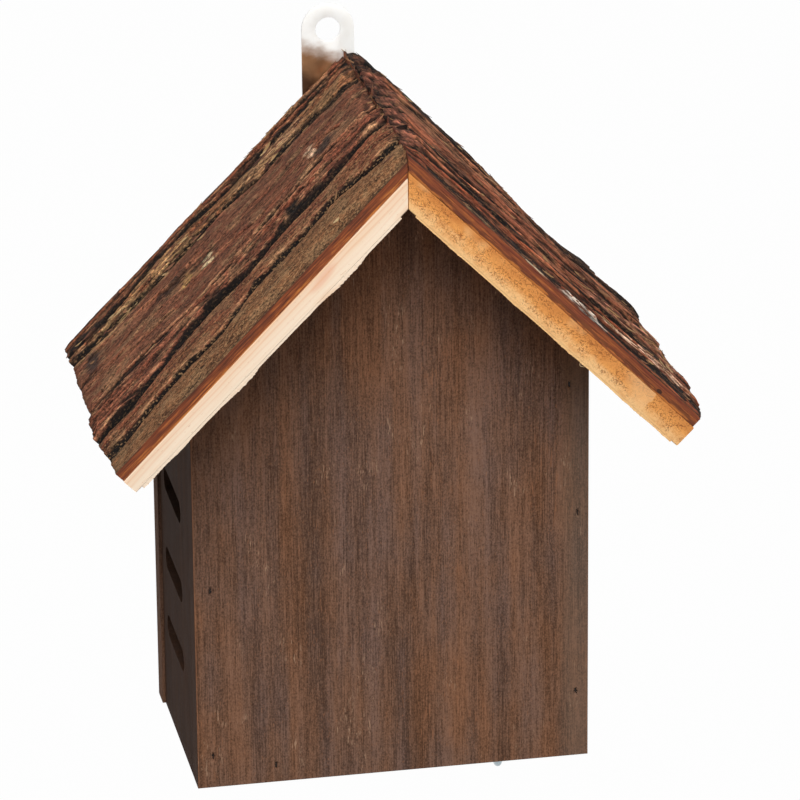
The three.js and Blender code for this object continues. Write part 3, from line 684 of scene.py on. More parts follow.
barkLayouts = {
    "left": {
        "side": -1,
        "length": 142.3,
        "ridgeDrop": 2.6,
        "tornRidge": -14,
        "stretch": 1.5,
        "coarse": 1.0,
        "ledgeDrops": [0.2, 0.3, 0.6, 0.4, 0.4, 0.8],
        "lipDrop": 0.21,
        "lineDepth": 0.65,
        "crisp": 1.0,
        "bumps": 0.22,
        "rimHighlightAmount": 0.5,
        "bare": 0.5,
        "crust": 0.45,
        "weathered": None,
        "sway": 0.8,
        "toneShift": (0.88, 0.825, 0.745),
        "breaks": [],
        "wallDark": (0.1, 0.6),
        "wallTorn": 0.4,
        "wallLeast": 0.75,
        "edgeWearAndHighlight": [0.45, 0.6, 0.9, 0.7, 1, 0.9],
        "boardRidge": 8.4,
        "boardEave": 6.6,
        "seed": 11,
        "furrows": [
            [0.127, 0.172, 0.165, 0.179, 0.12, 0.136, 0.123, 0.12],
            [0.304, 0.298, 0.309, 0.272, 0.299, 0.284, 0.251, 0.253],
            [0.435, 0.434, 0.421, 0.403, 0.398, 0.411, 0.422, 0.437],
            [0.738, 0.769, 0.771, 0.812, 0.797, 0.793, 0.808, 0.847],
            [0.917, 0.902, 0.89, 0.898, 0.922, 0.917, 0.886, 0.902],
        ],
        "furrowDark": [2.0, 2.4, 2.8, 3.2, 4.2],
        "crests": [
            [0.8, 0.79, 0.77, 0.74, 0.71, 0.67, 0.6, 0.48],
            [0.86, 0.84, 0.82, 0.8, 0.78, 0.76, 0.74, 0.68],
            [1, 0.98, 0.96, 0.94, 0.93, 0.91, 0.9, 0.86],
            [0.79, 0.79, 0.78, 0.78, 0.78, 0.77, 0.77, 0.76],
            [0.66, 0.67, 0.68, 0.69, 0.71, 0.72, 0.73, 0.73],
            [0.56, 0.59, 0.62, 0.65, 0.68, 0.71, 0.74, 0.76],
        ],
        "flaky": [0.2, 0.5, 0.7, 0.3, 1.0, 0.7],
        "lined": [0.15, 0.5, 1.3, 0.2, 0.6, 0.5],
        "sandy": [0.9, 0.7, 0.15, 0.1, 0.4, 0.15],
        "ragged": [0.0, 0.4, 1.6, 0.2, -0.4, -0.2],
        "tones": [
            (148, 110, 81), (142, 100, 74), (108, 67, 54), (138, 95, 76), (146, 108, 78), (136, 90, 69),
        ],
        "others": [
            (122, 88, 65), (112, 71, 56), (126, 82, 67), (116, 78, 64), (112, 75, 58), (100, 62, 49),
        ],
        "cracks": [
            ([(136, 98), (113, 92), (96, 88), (88, 84), (76, 87)], 1.3, 2.4),
            ([(134, 64), (121, 68), (107, 69.5), (92, 66)], 1.0, 1.6),
            ([(57, 53), (44, 52), (30, 54)], 0.8, 1.2),
            ([(18, 68), (8, 74), (2, 70)], 1.1, 1.8),
            ([(-4, 123.6), (18, 123), (40, 121), (52, 118)], 1.3, 1.6),
            ([(141, 46), (118, 43), (100, 47), (70, 45), (40, 48), (8, 46)], 0.8, 1.5),
            ([(139, 78), (120, 76), (104, 79), (86, 74), (66, 72), (48, 66), (30, 67)], 0.7, 1.2),
            ([(30, 34), (12, 33), (-8, 36)], 0.7, 1.2),
            ([(70, 40), (52, 38.5), (38, 41)], 0.6, 1.0),
            ([(-12, 60), (6, 58), (22, 61), (36, 58)], 0.8, 1.4),
        ],
        "patches": [
            ((73, 76), (3.4, 4.5), (196, 176, 138)),
            ((84, 78), (3.6, 5), (152, 120, 74)),
            ((88, 84), (9, 4), (50, 34, 26)),
            ((12, 68), (6, 3.5), (44, 34, 30)),
            ((17, 74), (3, 5), (176, 146, 120)),
            ((133, 92), (4, 9), (52, 40, 36)),
            ((118, 104), (18, 6), (158, 124, 86)),
            ((86, 108), (13, 9), (164, 126, 86)),
            ((30, 108), (16, 8), (158, 122, 90)),
            ((64, 126), (6, 2.5), (38, 27, 23)),
            ((127, 127), (14, 1.6), (50, 34, 28)),
            ((134, 119), (3, 3), (46, 35, 33)),
            ((20, 126.6), (26, 1.6), (196, 160, 112)),
        ],
    },
    "right": {
        "side": 1,
        "length": 140.5,
        "ridgeDrop": 5,
        "tornRidge": -8,
        "stretch": 2.4,
        "coarse": 2.4,
        "ledgeDrops": [1, 1, 1, 1, 1, 1],
        "lipDrop": 0.13,
        "lineDepth": 0.9,
        "crisp": 0.0,
        "bumps": 0.35,
        "rimHighlightAmount": 0.0,
        "bare": 0.0,
        "crust": 0.2,
        "weathered": [90, 88, 87, 72, 68, 66, 66, 66],
        "sway": 0.35,
        "toneShift": (1.15, 1.06, 0.97),
        "breaks": [160, 160, 130, 125, 122, 120],
        "wallDark": (0.5, 1.7),
        "wallTorn": 0.9,
        "wallLeast": 0.7,
        "edgeWearAndHighlight": [0.8, 0.8, 0.8, 0.8, 0.7, 0.5],
        "boardRidge": 10.0,
        "boardEave": 9.2,
        "seed": 47,
        "furrows": [
            [0.1, 0.108, 0.12, 0.113, 0.13, 0.14, 0.138, 0.15],
            [0.25, 0.24, 0.262, 0.25, 0.27, 0.281, 0.27, 0.29],
            [0.41, 0.402, 0.382, 0.4, 0.421, 0.41, 0.43, 0.421],
            [0.6, 0.622, 0.61, 0.59, 0.581, 0.6, 0.62, 0.61],
            [0.8, 0.79, 0.812, 0.82, 0.8, 0.781, 0.79, 0.81],
        ],
        "furrowDark": [3.0, 3.0, 3.2, 3.0, 3.6],
        "crests": [
            [0.8, 0.81, 0.81, 0.83, 0.83, 0.84, 0.85, 0.8],
            [0.96, 0.97, 0.97, 0.97, 0.97, 1, 0.98, 0.84],
            [1.11, 1.12, 1.11, 1.08, 1.05, 1.09, 1, 0.76],
            [1.2, 1.2, 1.17, 1.1, 1.01, 1.09, 1.1, 0.68],
            [1.1, 1.07, 1, 0.89, 0.73, 0.76, 0.87, 0.56],
            [0.82, 0.81, 0.78, 0.7, 0.54, 0.47, 0.52, 0.47],
        ],
        "flaky": [0.8, 0.8, 1.0, 0.7, 0.9, 0.6],
        "lined": [1.3, 1.2, 1.2, 0.9, 1.0, 0.8],
        "sandy": [0.2, 0.2, 0.1, 0.3, 0.2, 0.2],
        "ragged": [-0.4, 0.8, 1.2, -0.6, 0.8, 0.3],
        "tones": [
            (120, 70, 50), (132, 88, 68), (126, 82, 63), (126, 88, 70), (126, 80, 62), (62, 43, 35),
        ],
        "others": [
            (84, 48, 37), (96, 60, 48), (90, 56, 45), (90, 61, 50), (86, 54, 42), (38, 28, 24),
        ],
        "cracks": [
            ([(-4, 3.8), (12, 3.2), (30, 3.8), (48, 3.4), (64, 3.4)], 2.0, 0.6),
            ([(86, 4.8), (100, 4.0), (116, 4.2), (131, 3.6)], 2.0, 0.8),
            ([(20, 24), (60, 22), (95, 25)], 1.0, 1.8),
            ([(30, 62), (70, 66), (110, 62)], 1.2, 1.8),
        ],
        "patches": [
            ((77, 2.8), (11, 2.8), (222, 214, 200)),
            ((50, 1.8), (7, 1.3), (206, 188, 158)),
            ((22, 1.6), (8, 0.9), (204, 172, 126)),
            ((108, 9.6), (24, 1.8), (206, 178, 152)),
            ((60, 96), (18, 9), (150, 116, 82)),
            ((62, 124), (60, 6), (42, 31, 27)),
            ((16, 120), (12, 6), (60, 42, 34)),
            ((118, 12), (16, 5), (188, 150, 126)),
            ((124, 40), (14, 16), (168, 116, 94)),
            ((96, 26), (12, 6), (160, 108, 86)),
        ],
    },
}


# patterns in the bark: their sizes down the slope and across it, the seed's step and the octaves
barkPatterns = {
    "wander": (15, 7, 0, 3),
    "sway": (3.4, 2.2, 4, 2),
    "furrowWidth": (11, 1, 12, 3),
    "ledge": (6, 5, 16, 3),
    "terraces": (34, 5.0, 20, 4),
    "scales": (5, 1.2, 26, 2),
    "splitGate": (16, 8, 2, 3),
    "ridges": (22, 1.3, 38, 3),
    "bumps": (1.4, 0.8, 40, 2),
    "shadowGate": (14, 1, 44, 2),
    "mottling": (10, 2.4, 46, 3),
    "tornWall": (4, 1.5, 48, 3),
    "lip": (9, 1, 50, 3),
    "furrowReach": (8, 1, 52, 3),
    "furrowBend": (3, 2, 54, 2),
    "tornRidge": (2, 3.5, 58, 3),
    "otherTone": (8, 3, 60, 3),
    "crackWidth": (6, 1, 62, 3),
    "crackBend": (4.5, 1, 64, 3),
    "bare": (14, 2.4, 64, 3),
    "crackGate": (12, 1, 66, 3),
    "crust": (8, 4, 68, 3),
    "patchEdge": (2.2, 1.1, 70, 3),
    "tornTone": (3, 6, 72, 3),
    "tornLight": (4, 2.6, 74, 3),
    "rimHighlightGate": (3, 2, 76, 3),
    "eave": (5, 1, 80, 3),
    "breaks": (3, 1, 90, 3),
    "weathered": (5, 4, 92, 3),
}


def pattern(layout, name, along, across, coarse=1, gain=0.5, shift=0):
    length, width, step, octaves = barkPatterns[name]
    return field(along / length, across / (width * coarse), layout["seed"] + step + shift, octaves, gain)


def boardTop(layout, along):
    return layout["boardRidge"] + (layout["boardEave"] - layout["boardRidge"]) * along / layout["length"]


def soften(values, cells):
    # a soft average over a square of this many cells each way
    width = 2 * cells + 1
    for axis in (0, 1):
        for _ in range(2):
            pad = [(0, 0), (0, 0)]
            pad[axis] = (cells + 1, cells)
            total = np.cumsum(np.pad(values, pad, mode="edge"), axis=axis)
            high = np.take(total, range(width, total.shape[axis]), axis=axis)
            low = np.take(total, range(0, total.shape[axis] - width), axis=axis)
            values = (high - low) / width
    return values


def atStations(layout, lines, share):
    return [np.interp(share, barkShared["stations"], line) for line in lines]


def barkRelief(layout, along, across):
    # height over the board, and the values from which the tone is made
    def noise(name, x, y, coarse=1, **others):
        return pattern(layout, name, x, y, coarse, **others)

    share = along / layout["length"]
    depth = barkShared["depth"]
    run = along / layout["stretch"]
    still = run * 0
    turns = 2 * math.pi * barkShared["waves"] * share
    coarse = layout["coarse"]
    wander = 1.1 * (noise("wander", along, across) - 0.5)
    wander = wander + layout["sway"] * (noise("sway", run, across, coarse) - 0.5)
    moved = across + wander
    lines = atStations(layout, layout["furrows"], share)
    phase = barkShared["phase"]
    sway = [barkShared["furrowWave"] * np.sin(turns + phase * i) for i in range(len(lines))]
    lines = [line * depth + bend for line, bend in zip(lines, sway)]
    plate = sum((moved > line).astype(int) for line in lines)

    def perPlate(name):
        return np.array(layout[name], float)[plate]

    edges = np.stack([np.zeros_like(along), *lines, np.full_like(along, depth)])
    low = np.take_along_axis(edges, plate[None], 0)[0]
    high = np.take_along_axis(edges, plate[None] + 1, 0)[0]
    part = np.clip((moved - low) / (high - low), 0, 1)
    crests = np.stack(atStations(layout, layout["crests"], share))
    crest = barkShared["thickness"] * np.take_along_axis(crests, plate[None], 0)[0]
    crest = crest * (1 + 0.03 * np.sin(2 * math.pi * share * (1 + barkShared["waves"]) + plate * phase))
    crown = 1 - np.where(part > 0.5, layout["lipDrop"], 0.13) * np.abs(2 * part - 1) ** 2.4
    if layout["breaks"]:
        # the upper layers break off before the eave
        past = along - perPlate("breaks") + 3 * (noise("breaks", across, still) - 0.5)
        gone = ease(past, -0.4, 0.4)
        crest = crest + 0.7 * ease(past, -22, -2) * (1 - gone) - 1.1 * gone

    # the furrows, and the painted shade that darkens their floors and walls
    notch = np.ones_like(along)
    furrowShade = np.zeros_like(along)
    half = barkShared["furrowHalf"]
    for index, line in enumerate(lines):
        width = half * (0.75 + 0.5 * noise("furrowWidth", run, still + 5.3 * index))
        away = moved - line
        notch = np.minimum(notch, ease(np.abs(away) / width, 0.1, 1.0))
        reach = 0.2 + 1.6 * noise("furrowReach", run, still + 3.1 * index)
        reach = layout["furrowDark"][index] * reach
        away = away - 0.25 * reach + 1.1 * (noise("furrowBend", run, moved) - 0.5)
        furrowShade = np.maximum(furrowShade, 1 - ease(np.abs(away) / reach, 0.55, 1.0))
    wave = 0.08 * np.sin(turns + plate * phase)
    first = np.where(plate == 0, barkShared["frontLedge"], low + half)
    last = np.where(plate == len(lines), high, high - half)
    fromLedge = moved - first - (np.array(barkShared["ledges"])[plate] + wave) * (last - first)
    fromLedge = fromLedge + 1.2 * (noise("ledge", along, across) - 0.5)
    ledgeDrop = perPlate("ledgeDrops")
    crest = crest - ledgeDrop * (1 - ease(fromLedge, 0, 0.8))
    floor = barkShared["floorShare"] * barkShared["thickness"]
    plain = floor + (crest * crown - floor) * notch
    height = plain

    # scales: terraces whose edges follow the slope
    layers = barkShared["layers"]
    level = layers * noise("terraces", run, moved, coarse ** 0.5, gain=0.55)
    level = level + 0.5 * noise("scales", run, moved, coarse)
    whole = np.floor(level)
    rest = level - whole
    step = whole + ease(rest, 0.86, 1.0)
    height = height + (step / layers - 0.55) * barkShared["scaleDepth"] * perPlate("flaky") * notch

    # long fine cracks, broken up along their length
    split = np.zeros_like(along)
    for reach, pitch, offset in barkShared["splits"]:
        value = field(run / reach, moved / (pitch * coarse ** 0.6), layout["seed"] + offset)
        gate = ease(noise("splitGate", run, across, shift=offset), 0.36, 0.54)
        opened = 1 - ease(np.abs(value - 0.5) / (0.055 * perPlate("lined") + 0.01))
        split = np.maximum(split, opened * gate)
    split = split * np.clip(0.35 + 0.65 * perPlate("lined"), 0.4, 1)
    height = height - 1.0 * split * notch
    ridges = 1 - np.abs(2 * noise("ridges", run, moved, coarse) - 1)
    height = height + (ridges - 0.75) * layout["lineDepth"] * perPlate("lined") * notch
    height = height + (noise("bumps", run, across, coarse) - 0.5) * layout["bumps"]

    # furrow walls are painted dark, partly as weathering and partly as painted shade, here and there less
    torn = layout["wallTorn"] * (noise("tornWall", run, moved) - 0.4)
    below = ease(crest * crown - plain + torn, *layout["wallDark"])
    least = layout["wallLeast"]
    mottled = least + (1 - least) * ease(noise("mottling", run, moved), 0.34, 0.52)
    dark = np.maximum(np.maximum(below, furrowShade) * mottled, split)
    # painted shadow just below each ledge, on the lower side of the step
    gate = ease(noise("shadowGate", along, still + plate * 3.1), 0.35, 0.55)
    ledgeShadow = ease(fromLedge, -1.3, -0.2) * (1 - ease(fromLedge, 0.0, 0.7))
    dark = np.maximum(dark, 0.9 * ledgeShadow * gate * ledgeDrop)

    # a crisp crack along each furrow, dark with painted shade where the furrow would show over the lip in
    # front of it, and its pale rim, a painted highlight
    rows = barkShared["thickness"] * crests
    rimHighlight = np.zeros_like(along)
    for index, line in enumerate(lines):
        hiding = np.clip((rows[index] - rows[index + 1]) / barkShared["sightRise"], 0, 6)
        bend = 2.6 * (noise("crackBend", run, still + 2.7 * index) - 0.5)
        thin = 0.5 + 1.5 * noise("crackWidth", run, still + 7.3 * index) ** 1.4
        beyond = moved - line - barkShared["crackShift"] - hiding - bend
        core = 1 - ease(np.abs(beyond) / thin, 0.6, 1.0)
        rimHighlight = np.maximum(rimHighlight, 1 - ease(np.abs(beyond - thin - 0.7) / 0.8, 0.3, 1.0))
        core = core * (0.75 + 0.25 * ease(noise("crackGate", run, still + 1.9 * index), 0.2, 0.4))
        dark = np.maximum(dark, core * layout["crisp"])
        height = height - 0.9 * core * layout["crisp"]
    if layout["weathered"]:
        border = np.interp(share, barkShared["stations"], layout["weathered"])
        border = moved - border + 3 * (noise("weathered", run, across) - 0.5)
        intact = perPlate("breaks") > along
        # the rearmost plate is brown again further down
        faded = 1 - 0.8 * ease(border, 20, 27) * ease(along, 15, 45)
        dark = np.maximum(dark, 0.88 * ease(border, -0.8, 0.8) * intact * faded)
    for points, width, cut in layout["cracks"]:
        opened = 1 - ease(lineDistance(points, along + 3 * wander, moved) / width, 0.35, 1.0)
        height = height - opened * cut
        dark = np.maximum(dark, opened * 0.95)

    height = plain + (height - plain) - soften(height - plain, 11)
    rise = ease(across / 7.5)
    edge = barkShared["lip"] + 0.5 * (noise("lip", along, still) - 0.5)
    height = edge + (height - edge) * rise ** 0.8
    drops = np.array(barkShared["ridgeDrops"])[plate] * rise * layout["ridgeDrop"]
    ragged = 5 * (noise("tornRidge", along, across) - 0.5)
    worn = drops * np.maximum(-(along + 8 + ragged * ease(-along, 0, 8)) / 9, 0)
    height = np.where(along < 0, np.maximum(height - worn, np.minimum(height, floor)), height)
    height = height * (1 - 0.1 * ease(along, layout["length"] - 3, layout["length"] + 1))
    return np.maximum(height, barkShared["least"]), plate, whole, rest, dark, rimHighlight, moved


def laid(tone, colour, amount):
    amount = amount[..., None]
    return tone * (1 - amount) + np.array(colour, float) * amount


def barkTone(layout, along, across, relief):
    height, plate, whole, rest, dark, rimHighlight, moved = relief
    tone = np.array(layout["tones"], float)[plate]
    other = np.array(layout["others"], float)[plate]
    blend = np.mod(whole * 0.37 + plate * 0.21, 1.0)
    blend = 0.55 * blend + 0.45 * ease(pattern(layout, "otherTone", along, across), 0.3, 0.7)
    tone = laid(tone, other, blend) * np.array(layout["toneShift"])
    # bare red layers, grey crust, and pale rims that are a painted highlight
    flaky = np.array(layout["flaky"], float)[plate]
    bare = ease(pattern(layout, "bare", along, moved), 0.54, 0.62) * (flaky > 0.25) * layout["bare"]
    crust = ease(pattern(layout, "crust", along, moved), 0.56, 0.66) * layout["crust"]
    edges = rimHighlight * ease(pattern(layout, "rimHighlightGate", along, moved), 0.4, 0.62) * layout["rimHighlightAmount"]
    for amount, name in ((bare, "bareTone"), (crust, "crustTone"), (edges, "rimHighlightTone")):
        tone = laid(tone, barkShared[name], amount)
    broken = pattern(layout, "patchEdge", along, across)
    torn = ease(layout["tornRidge"] + 9 * (pattern(layout, "tornTone", along, across) - 0.5) - along, -1, 1)
    torn = 0.85 * torn * ease(across, 8, 14)
    patchy = pattern(layout, "tornLight", along, across)
    tone = laid(tone, np.array(barkShared["tornTone"]) * (0.3 + 1.1 * patchy[..., None]), torn)
    dark = dark * (1 - 0.5 * torn)
    chips = np.zeros_like(along)
    for (a, c), (reachAlong, reachAcross), colour in layout["patches"]:
        near = np.exp(-(((along - a) / reachAlong) ** 2) - ((across - c) / reachAcross) ** 2)
        amount = ease(near * 1.3 + (broken - 0.5) * 1.6, 0.35, 0.75) * ease(near, 0.05, 0.4)
        tone = laid(tone, colour, 0.85 * amount)
        chips = np.maximum(chips, near * (1 if sum(colour) > 300 else 0.3))

    # raised edges are lighter, partly wear and partly painted highlight, and hollows darker with painted
    # shade
    fine = height - soften(height, 2)
    broad = height - soften(height, 7)
    fineShare, broadShare = barkShared["wearAndPaintedLightShares"]
    wear = np.clip(fineShare * fine + broadShare * broad, *barkShared["wearAndPaintedLightSpan"])
    wear = np.where(wear > 0, wear * np.array(layout["edgeWearAndHighlight"])[plate], wear)
    tone = tone * (1 + wear)[..., None]
    # painted shade along the step edges of the flaky terraces
    under = ease(0.3 - rest, -0.02, 0.28) * (flaky > 0.5)
    dark = np.clip(dark + 0.45 * under, 0, 1)
    tone = tone * (1 - barkShared["darkest"] * dark[..., None] ** 1.1)
    chips = np.clip(0.06 + 0.75 * chips + 0.3 * (dark > 0.3) * flaky, 0, 1)
    return tone, np.array(layout["sandy"], float)[plate], chips


def slabPoint(side, along, out):
    # from the ridge down the slope, and out from the roof's underside
    return side * (along * cos45 + out * cos45), ridgeHeight - along * cos45 + out * cos45


def insideBox(points):
    # a little inside the CAD model's whole box
    gap = barkShared["boxGap"] * mm
    return np.clip(points, np.array(cadBox[0]) + gap, np.array(cadBox[1]) - gap)


def addBark(name):
    layout, label = barkLayouts[name], name.capitalize()
    side, length = layout["side"], layout["length"]
    rows, columns = barkShared["rows"], barkShared["columns"]
    across = np.linspace(0, barkShared["depth"], columns + 1)
    shares = np.linspace(0, 1, rows + 1)

    # each line down the slope runs from the mitre to the plate's own ragged end
    plateEnd = np.interp(across, barkShared["raggedAt"], [*layout["ragged"], layout["ragged"][-1]])
    last = length + plateEnd + 1.4 * (pattern(layout, "eave", across, across * 0) - 0.5)
    first = np.full(across.shape, -1.8 * layout["boardRidge"])
    for _ in range(3):
        along = first[None] + shares[:, None] * (last - first)[None]
        grid = np.broadcast_to(across, along.shape)
        relief = barkRelief(layout, along, grid)
        height = relief[0]
        out = boardTop(layout, along) + height
        first = barkShared["mitreGap"] - out[0]
    along[0] = first
    tone, sand, chips = barkTone(layout, along, grid, relief)
    chips[:3] = barkShared["ridgeChips"]

    # the rim of the skin, and the same rim on the board
    ringRows, ringColumns = np.array(gridRim(rows + 1, columns + 1)).T
    begin, end = along[0, ringColumns], along[rows, ringColumns]
    mitreLow = barkShared["mitreGap"] - layout["boardRidge"] - barkShared["boardGap"]
    ringAlong = mitreLow + (along[ringRows, ringColumns] - begin) * (end - mitreLow) / (end - begin)
    lowOut = boardTop(layout, ringAlong) + barkShared["boardGap"]

    def point(along, across, out):
        x, z = slabPoint(side, along, out)
        return np.stack([x, barkShared["front"] + across, z], -1).reshape(-1, 3)

    top, low = point(along, grid, out), point(ringAlong, across[ringColumns], lowOut)
    points = insideBox(np.concatenate([top, low]) * mm)

    skin = gridFaces(rows + 1, columns + 1)
    ringTop = ringRows * (columns + 1) + ringColumns
    ringLow = len(top) + np.arange(len(low))
    walls = np.stack([ringTop, ringLow, np.roll(ringLow, -1), np.roll(ringTop, -1)], -1)
    faces = [*skin, *walls.tolist(), ringLow.tolist()[::-side]]
    piece = addMesh("bark" + label, points.tolist(), faces, finishes["skin" + label], finishes["cut" + label])
    mesh = piece.data
    index = np.ones(len(faces), int)
    index[: len(skin)] = 0
    mesh.polygons.foreach_set("material_index", index)

    # what the finishes and the chips read, with zeros or plain values below the skin
    def store(attribute, kind, field, values):
        mesh.attributes.new(attribute, kind, "POINT").data.foreach_set(field, values.ravel())

    colours = np.ones((len(points), 4))
    colours[: len(top), :3] = linear(tone).reshape(-1, 3)
    colours[len(top):, :3] = linear(barkShared["cutTone"])
    store("barkTone", "FLOAT_COLOR", "color", colours)
    places = np.zeros((len(points), 3))
    places[: len(top)] = np.stack([along / layout["stretch"], grid, out], -1).reshape(-1, 3) * mm
    places[len(top):] = np.stack([ringAlong / layout["stretch"], across[ringColumns], lowOut], -1) * mm
    store("barkPlace", "FLOAT_VECTOR", "vector", places)
    for attribute, values in (("barkLayer", height), ("barkSand", sand), ("chips", chips)):
        column = np.zeros(len(points))
        column[: len(top)] = values.ravel()
        column[len(top) + 2 * rows + columns:] = values[0, 0] if attribute == "chips" else 0
        store(attribute, "FLOAT", "value", column)
    mesh.shade_smooth()
    mesh.set_sharp_from_angle(angle=barkShared["smooth"])
    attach(piece, "house")
    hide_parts("roof_bark_" + name)
    print("bark", name, len(mesh.polygons), "faces")
    return piece


# loose chips that lift from the bark
chipSizes = {
    "length": 4.2,
    "width": 1.0,
    "thickness": 0.3,
    "bend": 0.35,
    "grid": (5, 3),
    "density": 230000.0,
    "seed": 5,
    "sway": {"Min": (-0.2, -0.14, -0.25), "Max": (0.2, 0.06, 0.25), "Seed": 3},
    "scale": {"Min": (0.35, 0.3, 0.4), "Max": (1.5, 1.2, 1.1), "Seed": 9},
    "tone": {2: 0.0, 3: 1.0, "Seed": 21},
    "mitreFacing": 0.95,
    "steepest": 0.6,
}


def addChipShape():
    # a bent scale with a ragged outline, a few faces only
    rows, columns = chipSizes["grid"]
    rng = np.random.default_rng(chipSizes["seed"])
    points = []
    for layer in (0, 1):
        for i in range(rows):
            for j in range(columns):
                u = i / (rows - 1) * 2 - 1
                v = j / (columns - 1) * 2 - 1
                taper = 1 - 0.75 * abs(u) ** 2.2
                wobble = 1 + 0.25 * rng.standard_normal() * (layer == 0)
                x = u * chipSizes["length"] / 2
                y = v * chipSizes["width"] / 2 * taper * wobble
                z = chipSizes["bend"] * (u * u - 0.3 * v * v)
                z += layer * chipSizes["thickness"] * (1 - 0.8 * abs(u))
                points.append((x * mm, y * mm, z * mm))

    count = rows * columns
    faces = gridFaces(rows, columns) + gridFaces(rows, columns, count)
    ring = [i * columns + j for i, j in gridRim(rows, columns)]
    faces += [(a, b, count + b, count + a) for a, b in zip(ring, ring[1:] + ring[:1])]
    return addMesh("chipShape", points, faces)


class Tree(Nodes):
    # a Geometry Nodes tree with named inputs, of which Finish is the material of what it makes

    def __init__(self, name, inputs):
        super().__init__(bpy.data.node_groups.new(name, "GeometryNodeTree"))
        sockets = self.tree.interface
        for way in ("INPUT", "OUTPUT"):
            sockets.new_socket("Geometry", in_out=way, socket_type="NodeSocketGeometry")
        self.names = {}
        for label, (kind, value) in inputs.items():
            socket = sockets.new_socket(label, in_out="INPUT", socket_type=kind)
            if value is not None:
                socket.default_value = value
            self.names[label] = socket.identifier
        self.given = self.node("NodeGroupInput").other

    def finish(self, geometry):
        real = self.node("GeometryNodeRealizeInstances", None, {"Geometry": geometry})
        inputs = {"Geometry": real, "Material": self.given("Finish")}
        made = self.node("GeometryNodeSetMaterial", None, inputs)
        self.node("NodeGroupOutput", None, {"Geometry": made})


def bake(carrier, name, tree, values):
    # puts the tree on the carrier and keeps what it makes as a plain mesh
    modifier = carrier.modifiers.new(name, "NODES")
    modifier.node_group = tree.tree
    for label, value in values.items():
        modifier[tree.names[label]] = value
    bpy.context.view_layer.update()
    graph = bpy.context.evaluated_depsgraph_get()
    mesh = bpy.data.meshes.new_from_object(carrier.evaluated_get(graph))
    bpy.data.objects.remove(carrier)
    return addObject(name, mesh)


def chipTree():
    tree = Tree("barkChips", {
        "Chip": ("NodeSocketObject", None),
        "Density": ("NodeSocketFloat", chipSizes["density"]),
        "Seed": ("NodeSocketInt", chipSizes["seed"]),
        "Slope": ("NodeSocketVector", (0.7, 0, -0.7)),
        "Finish": ("NodeSocketMaterial", None),
    })
    named = {"data_type": "FLOAT"}
    amount = tree.node("GeometryNodeInputNamedAttribute", named, {"Name": "chips"}, "Attribute")
    density = amount.calc("POWER", 2.0) * tree.given("Density")
    inputs = {"Mesh": tree.given("Geometry"), "Density": density, "Seed": tree.given("Seed")}
    spread = tree.node("GeometryNodeDistributePointsOnFaces", None, inputs)

    # each chip stands on its face, points down the slope and sways
    align, vector = "FunctionNodeAlignRotationToVector", {"data_type": "FLOAT_VECTOR"}
    stand = tree.node(align, {"axis": "Z"}, {"Vector": spread.other("Normal")})
    inputs = {"Rotation": stand, "Vector": tree.given("Slope")}
    aimed = tree.node(align, {"axis": "X", "pivot_axis": "Z"}, inputs)
    sway = tree.node("FunctionNodeRandomValue", vector, chipSizes["sway"], "Value")
    inputs = {"Rotation": aimed, "Rotate By": sway}
    turned = tree.node("FunctionNodeRotateRotation", {"rotation_space": "LOCAL"}, inputs)
    size = tree.node("FunctionNodeRandomValue", vector, chipSizes["scale"], "Value")
    shape = tree.node("GeometryNodeObjectInfo", None, {"Object": tree.given("Chip")}, "Geometry")
    inputs = {"Points": spread, "Instance": shape, "Rotation": turned, "Scale": size}
    placed = tree.node("GeometryNodeInstanceOnPoints", None, inputs)
    tone = tree.node("FunctionNodeRandomValue", named, chipSizes["tone"], 1)
    settings = {"data_type": "FLOAT", "domain": "INSTANCE"}
    inputs = {"Geometry": placed, "Name": "chipTone", "Value": tone}
    tree.finish(tree.node("GeometryNodeStoreNamedAttribute", settings, inputs))
    return tree


def addChips(bark, name, tree, shape):
    # the skin and the mitre carry chips, the sawn faces and steep walls none
    side = barkLayouts[name]["side"]
    mesh = bark.data.copy()
    edit = bmesh.new()
    edit.from_mesh(mesh)
    outward = Vector((side * cos45, 0, cos45))
    bare = [
        face for face in edit.faces
        if face.material_index == 1 and abs(face.normal.x) < chipSizes["mitreFacing"]
        or face.material_index == 0 and face.normal.dot(outward) < chipSizes["steepest"]
    ]
    bmesh.ops.delete(edit, geom=bare, context="FACES")
    edit.to_mesh(mesh)
    edit.free()
    piece = bake(addObject("chipCarrier", mesh), "barkChips" + name.capitalize(), tree, {
        "Chip": shape,
        "Seed": barkLayouts[name]["seed"],
        "Slope": (side * cos45, 0.0, -cos45),
        "Finish": finishes["chip"],
    })
    vertices = piece.data.vertices
    points = np.zeros(3 * len(vertices))
    vertices.foreach_get("co", points)
    vertices.foreach_set("co", insideBox(points.reshape(-1, 3)).ravel())
    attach(piece, "house")
    print("chips", name, len(piece.data.polygons), "faces")


barks = {name: addBark(name) for name in barkLayouts}
chips = chipTree()
chipShape = addChipShape()
for name, bark in barks.items():
    addChips(bark, name, chips, chipShape)
bpy.data.objects.remove(chipShape)

for node, finish, body, slot in (
    ("front_panel", "front", "house", "stained_wood"),
    ("back_panel", "back", "house", "stained_wood"),
    ("left_wall", "side", "house", "stained_wood"),
    ("right_wall", "side", "house", "stained_wood"),
    ("floor_flap", "flap", "flap", "flap_wood"),
    ("roof_board_left", "pale", "house", "pale_wood"),
    ("roof_board_right", "orange", "house", "orange_wood"),
):
    easedCopy(node, finishes[finish], body)
for node, finish, body, slot, radius in (
    ("hanger_strap", "strap", "house", "galvanised_strap", 0.2),
    ("floor_hook", "wire", "hook", "zinc_wire", 0),
    ("strap_screw_1", "screw", "house", "zinc_screw", 0),
    ("strap_screw_2", "screw", "house", "zinc_screw", 0),
):
    easedCopy(node, finishes[finish], body, radius, 0.5, rounded=True)
for node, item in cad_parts.items():
    if "brad" in node or "pin" in node:
        for place in item.material_slots:
            place.material = finishes["brad"]
print("boards and metal made")


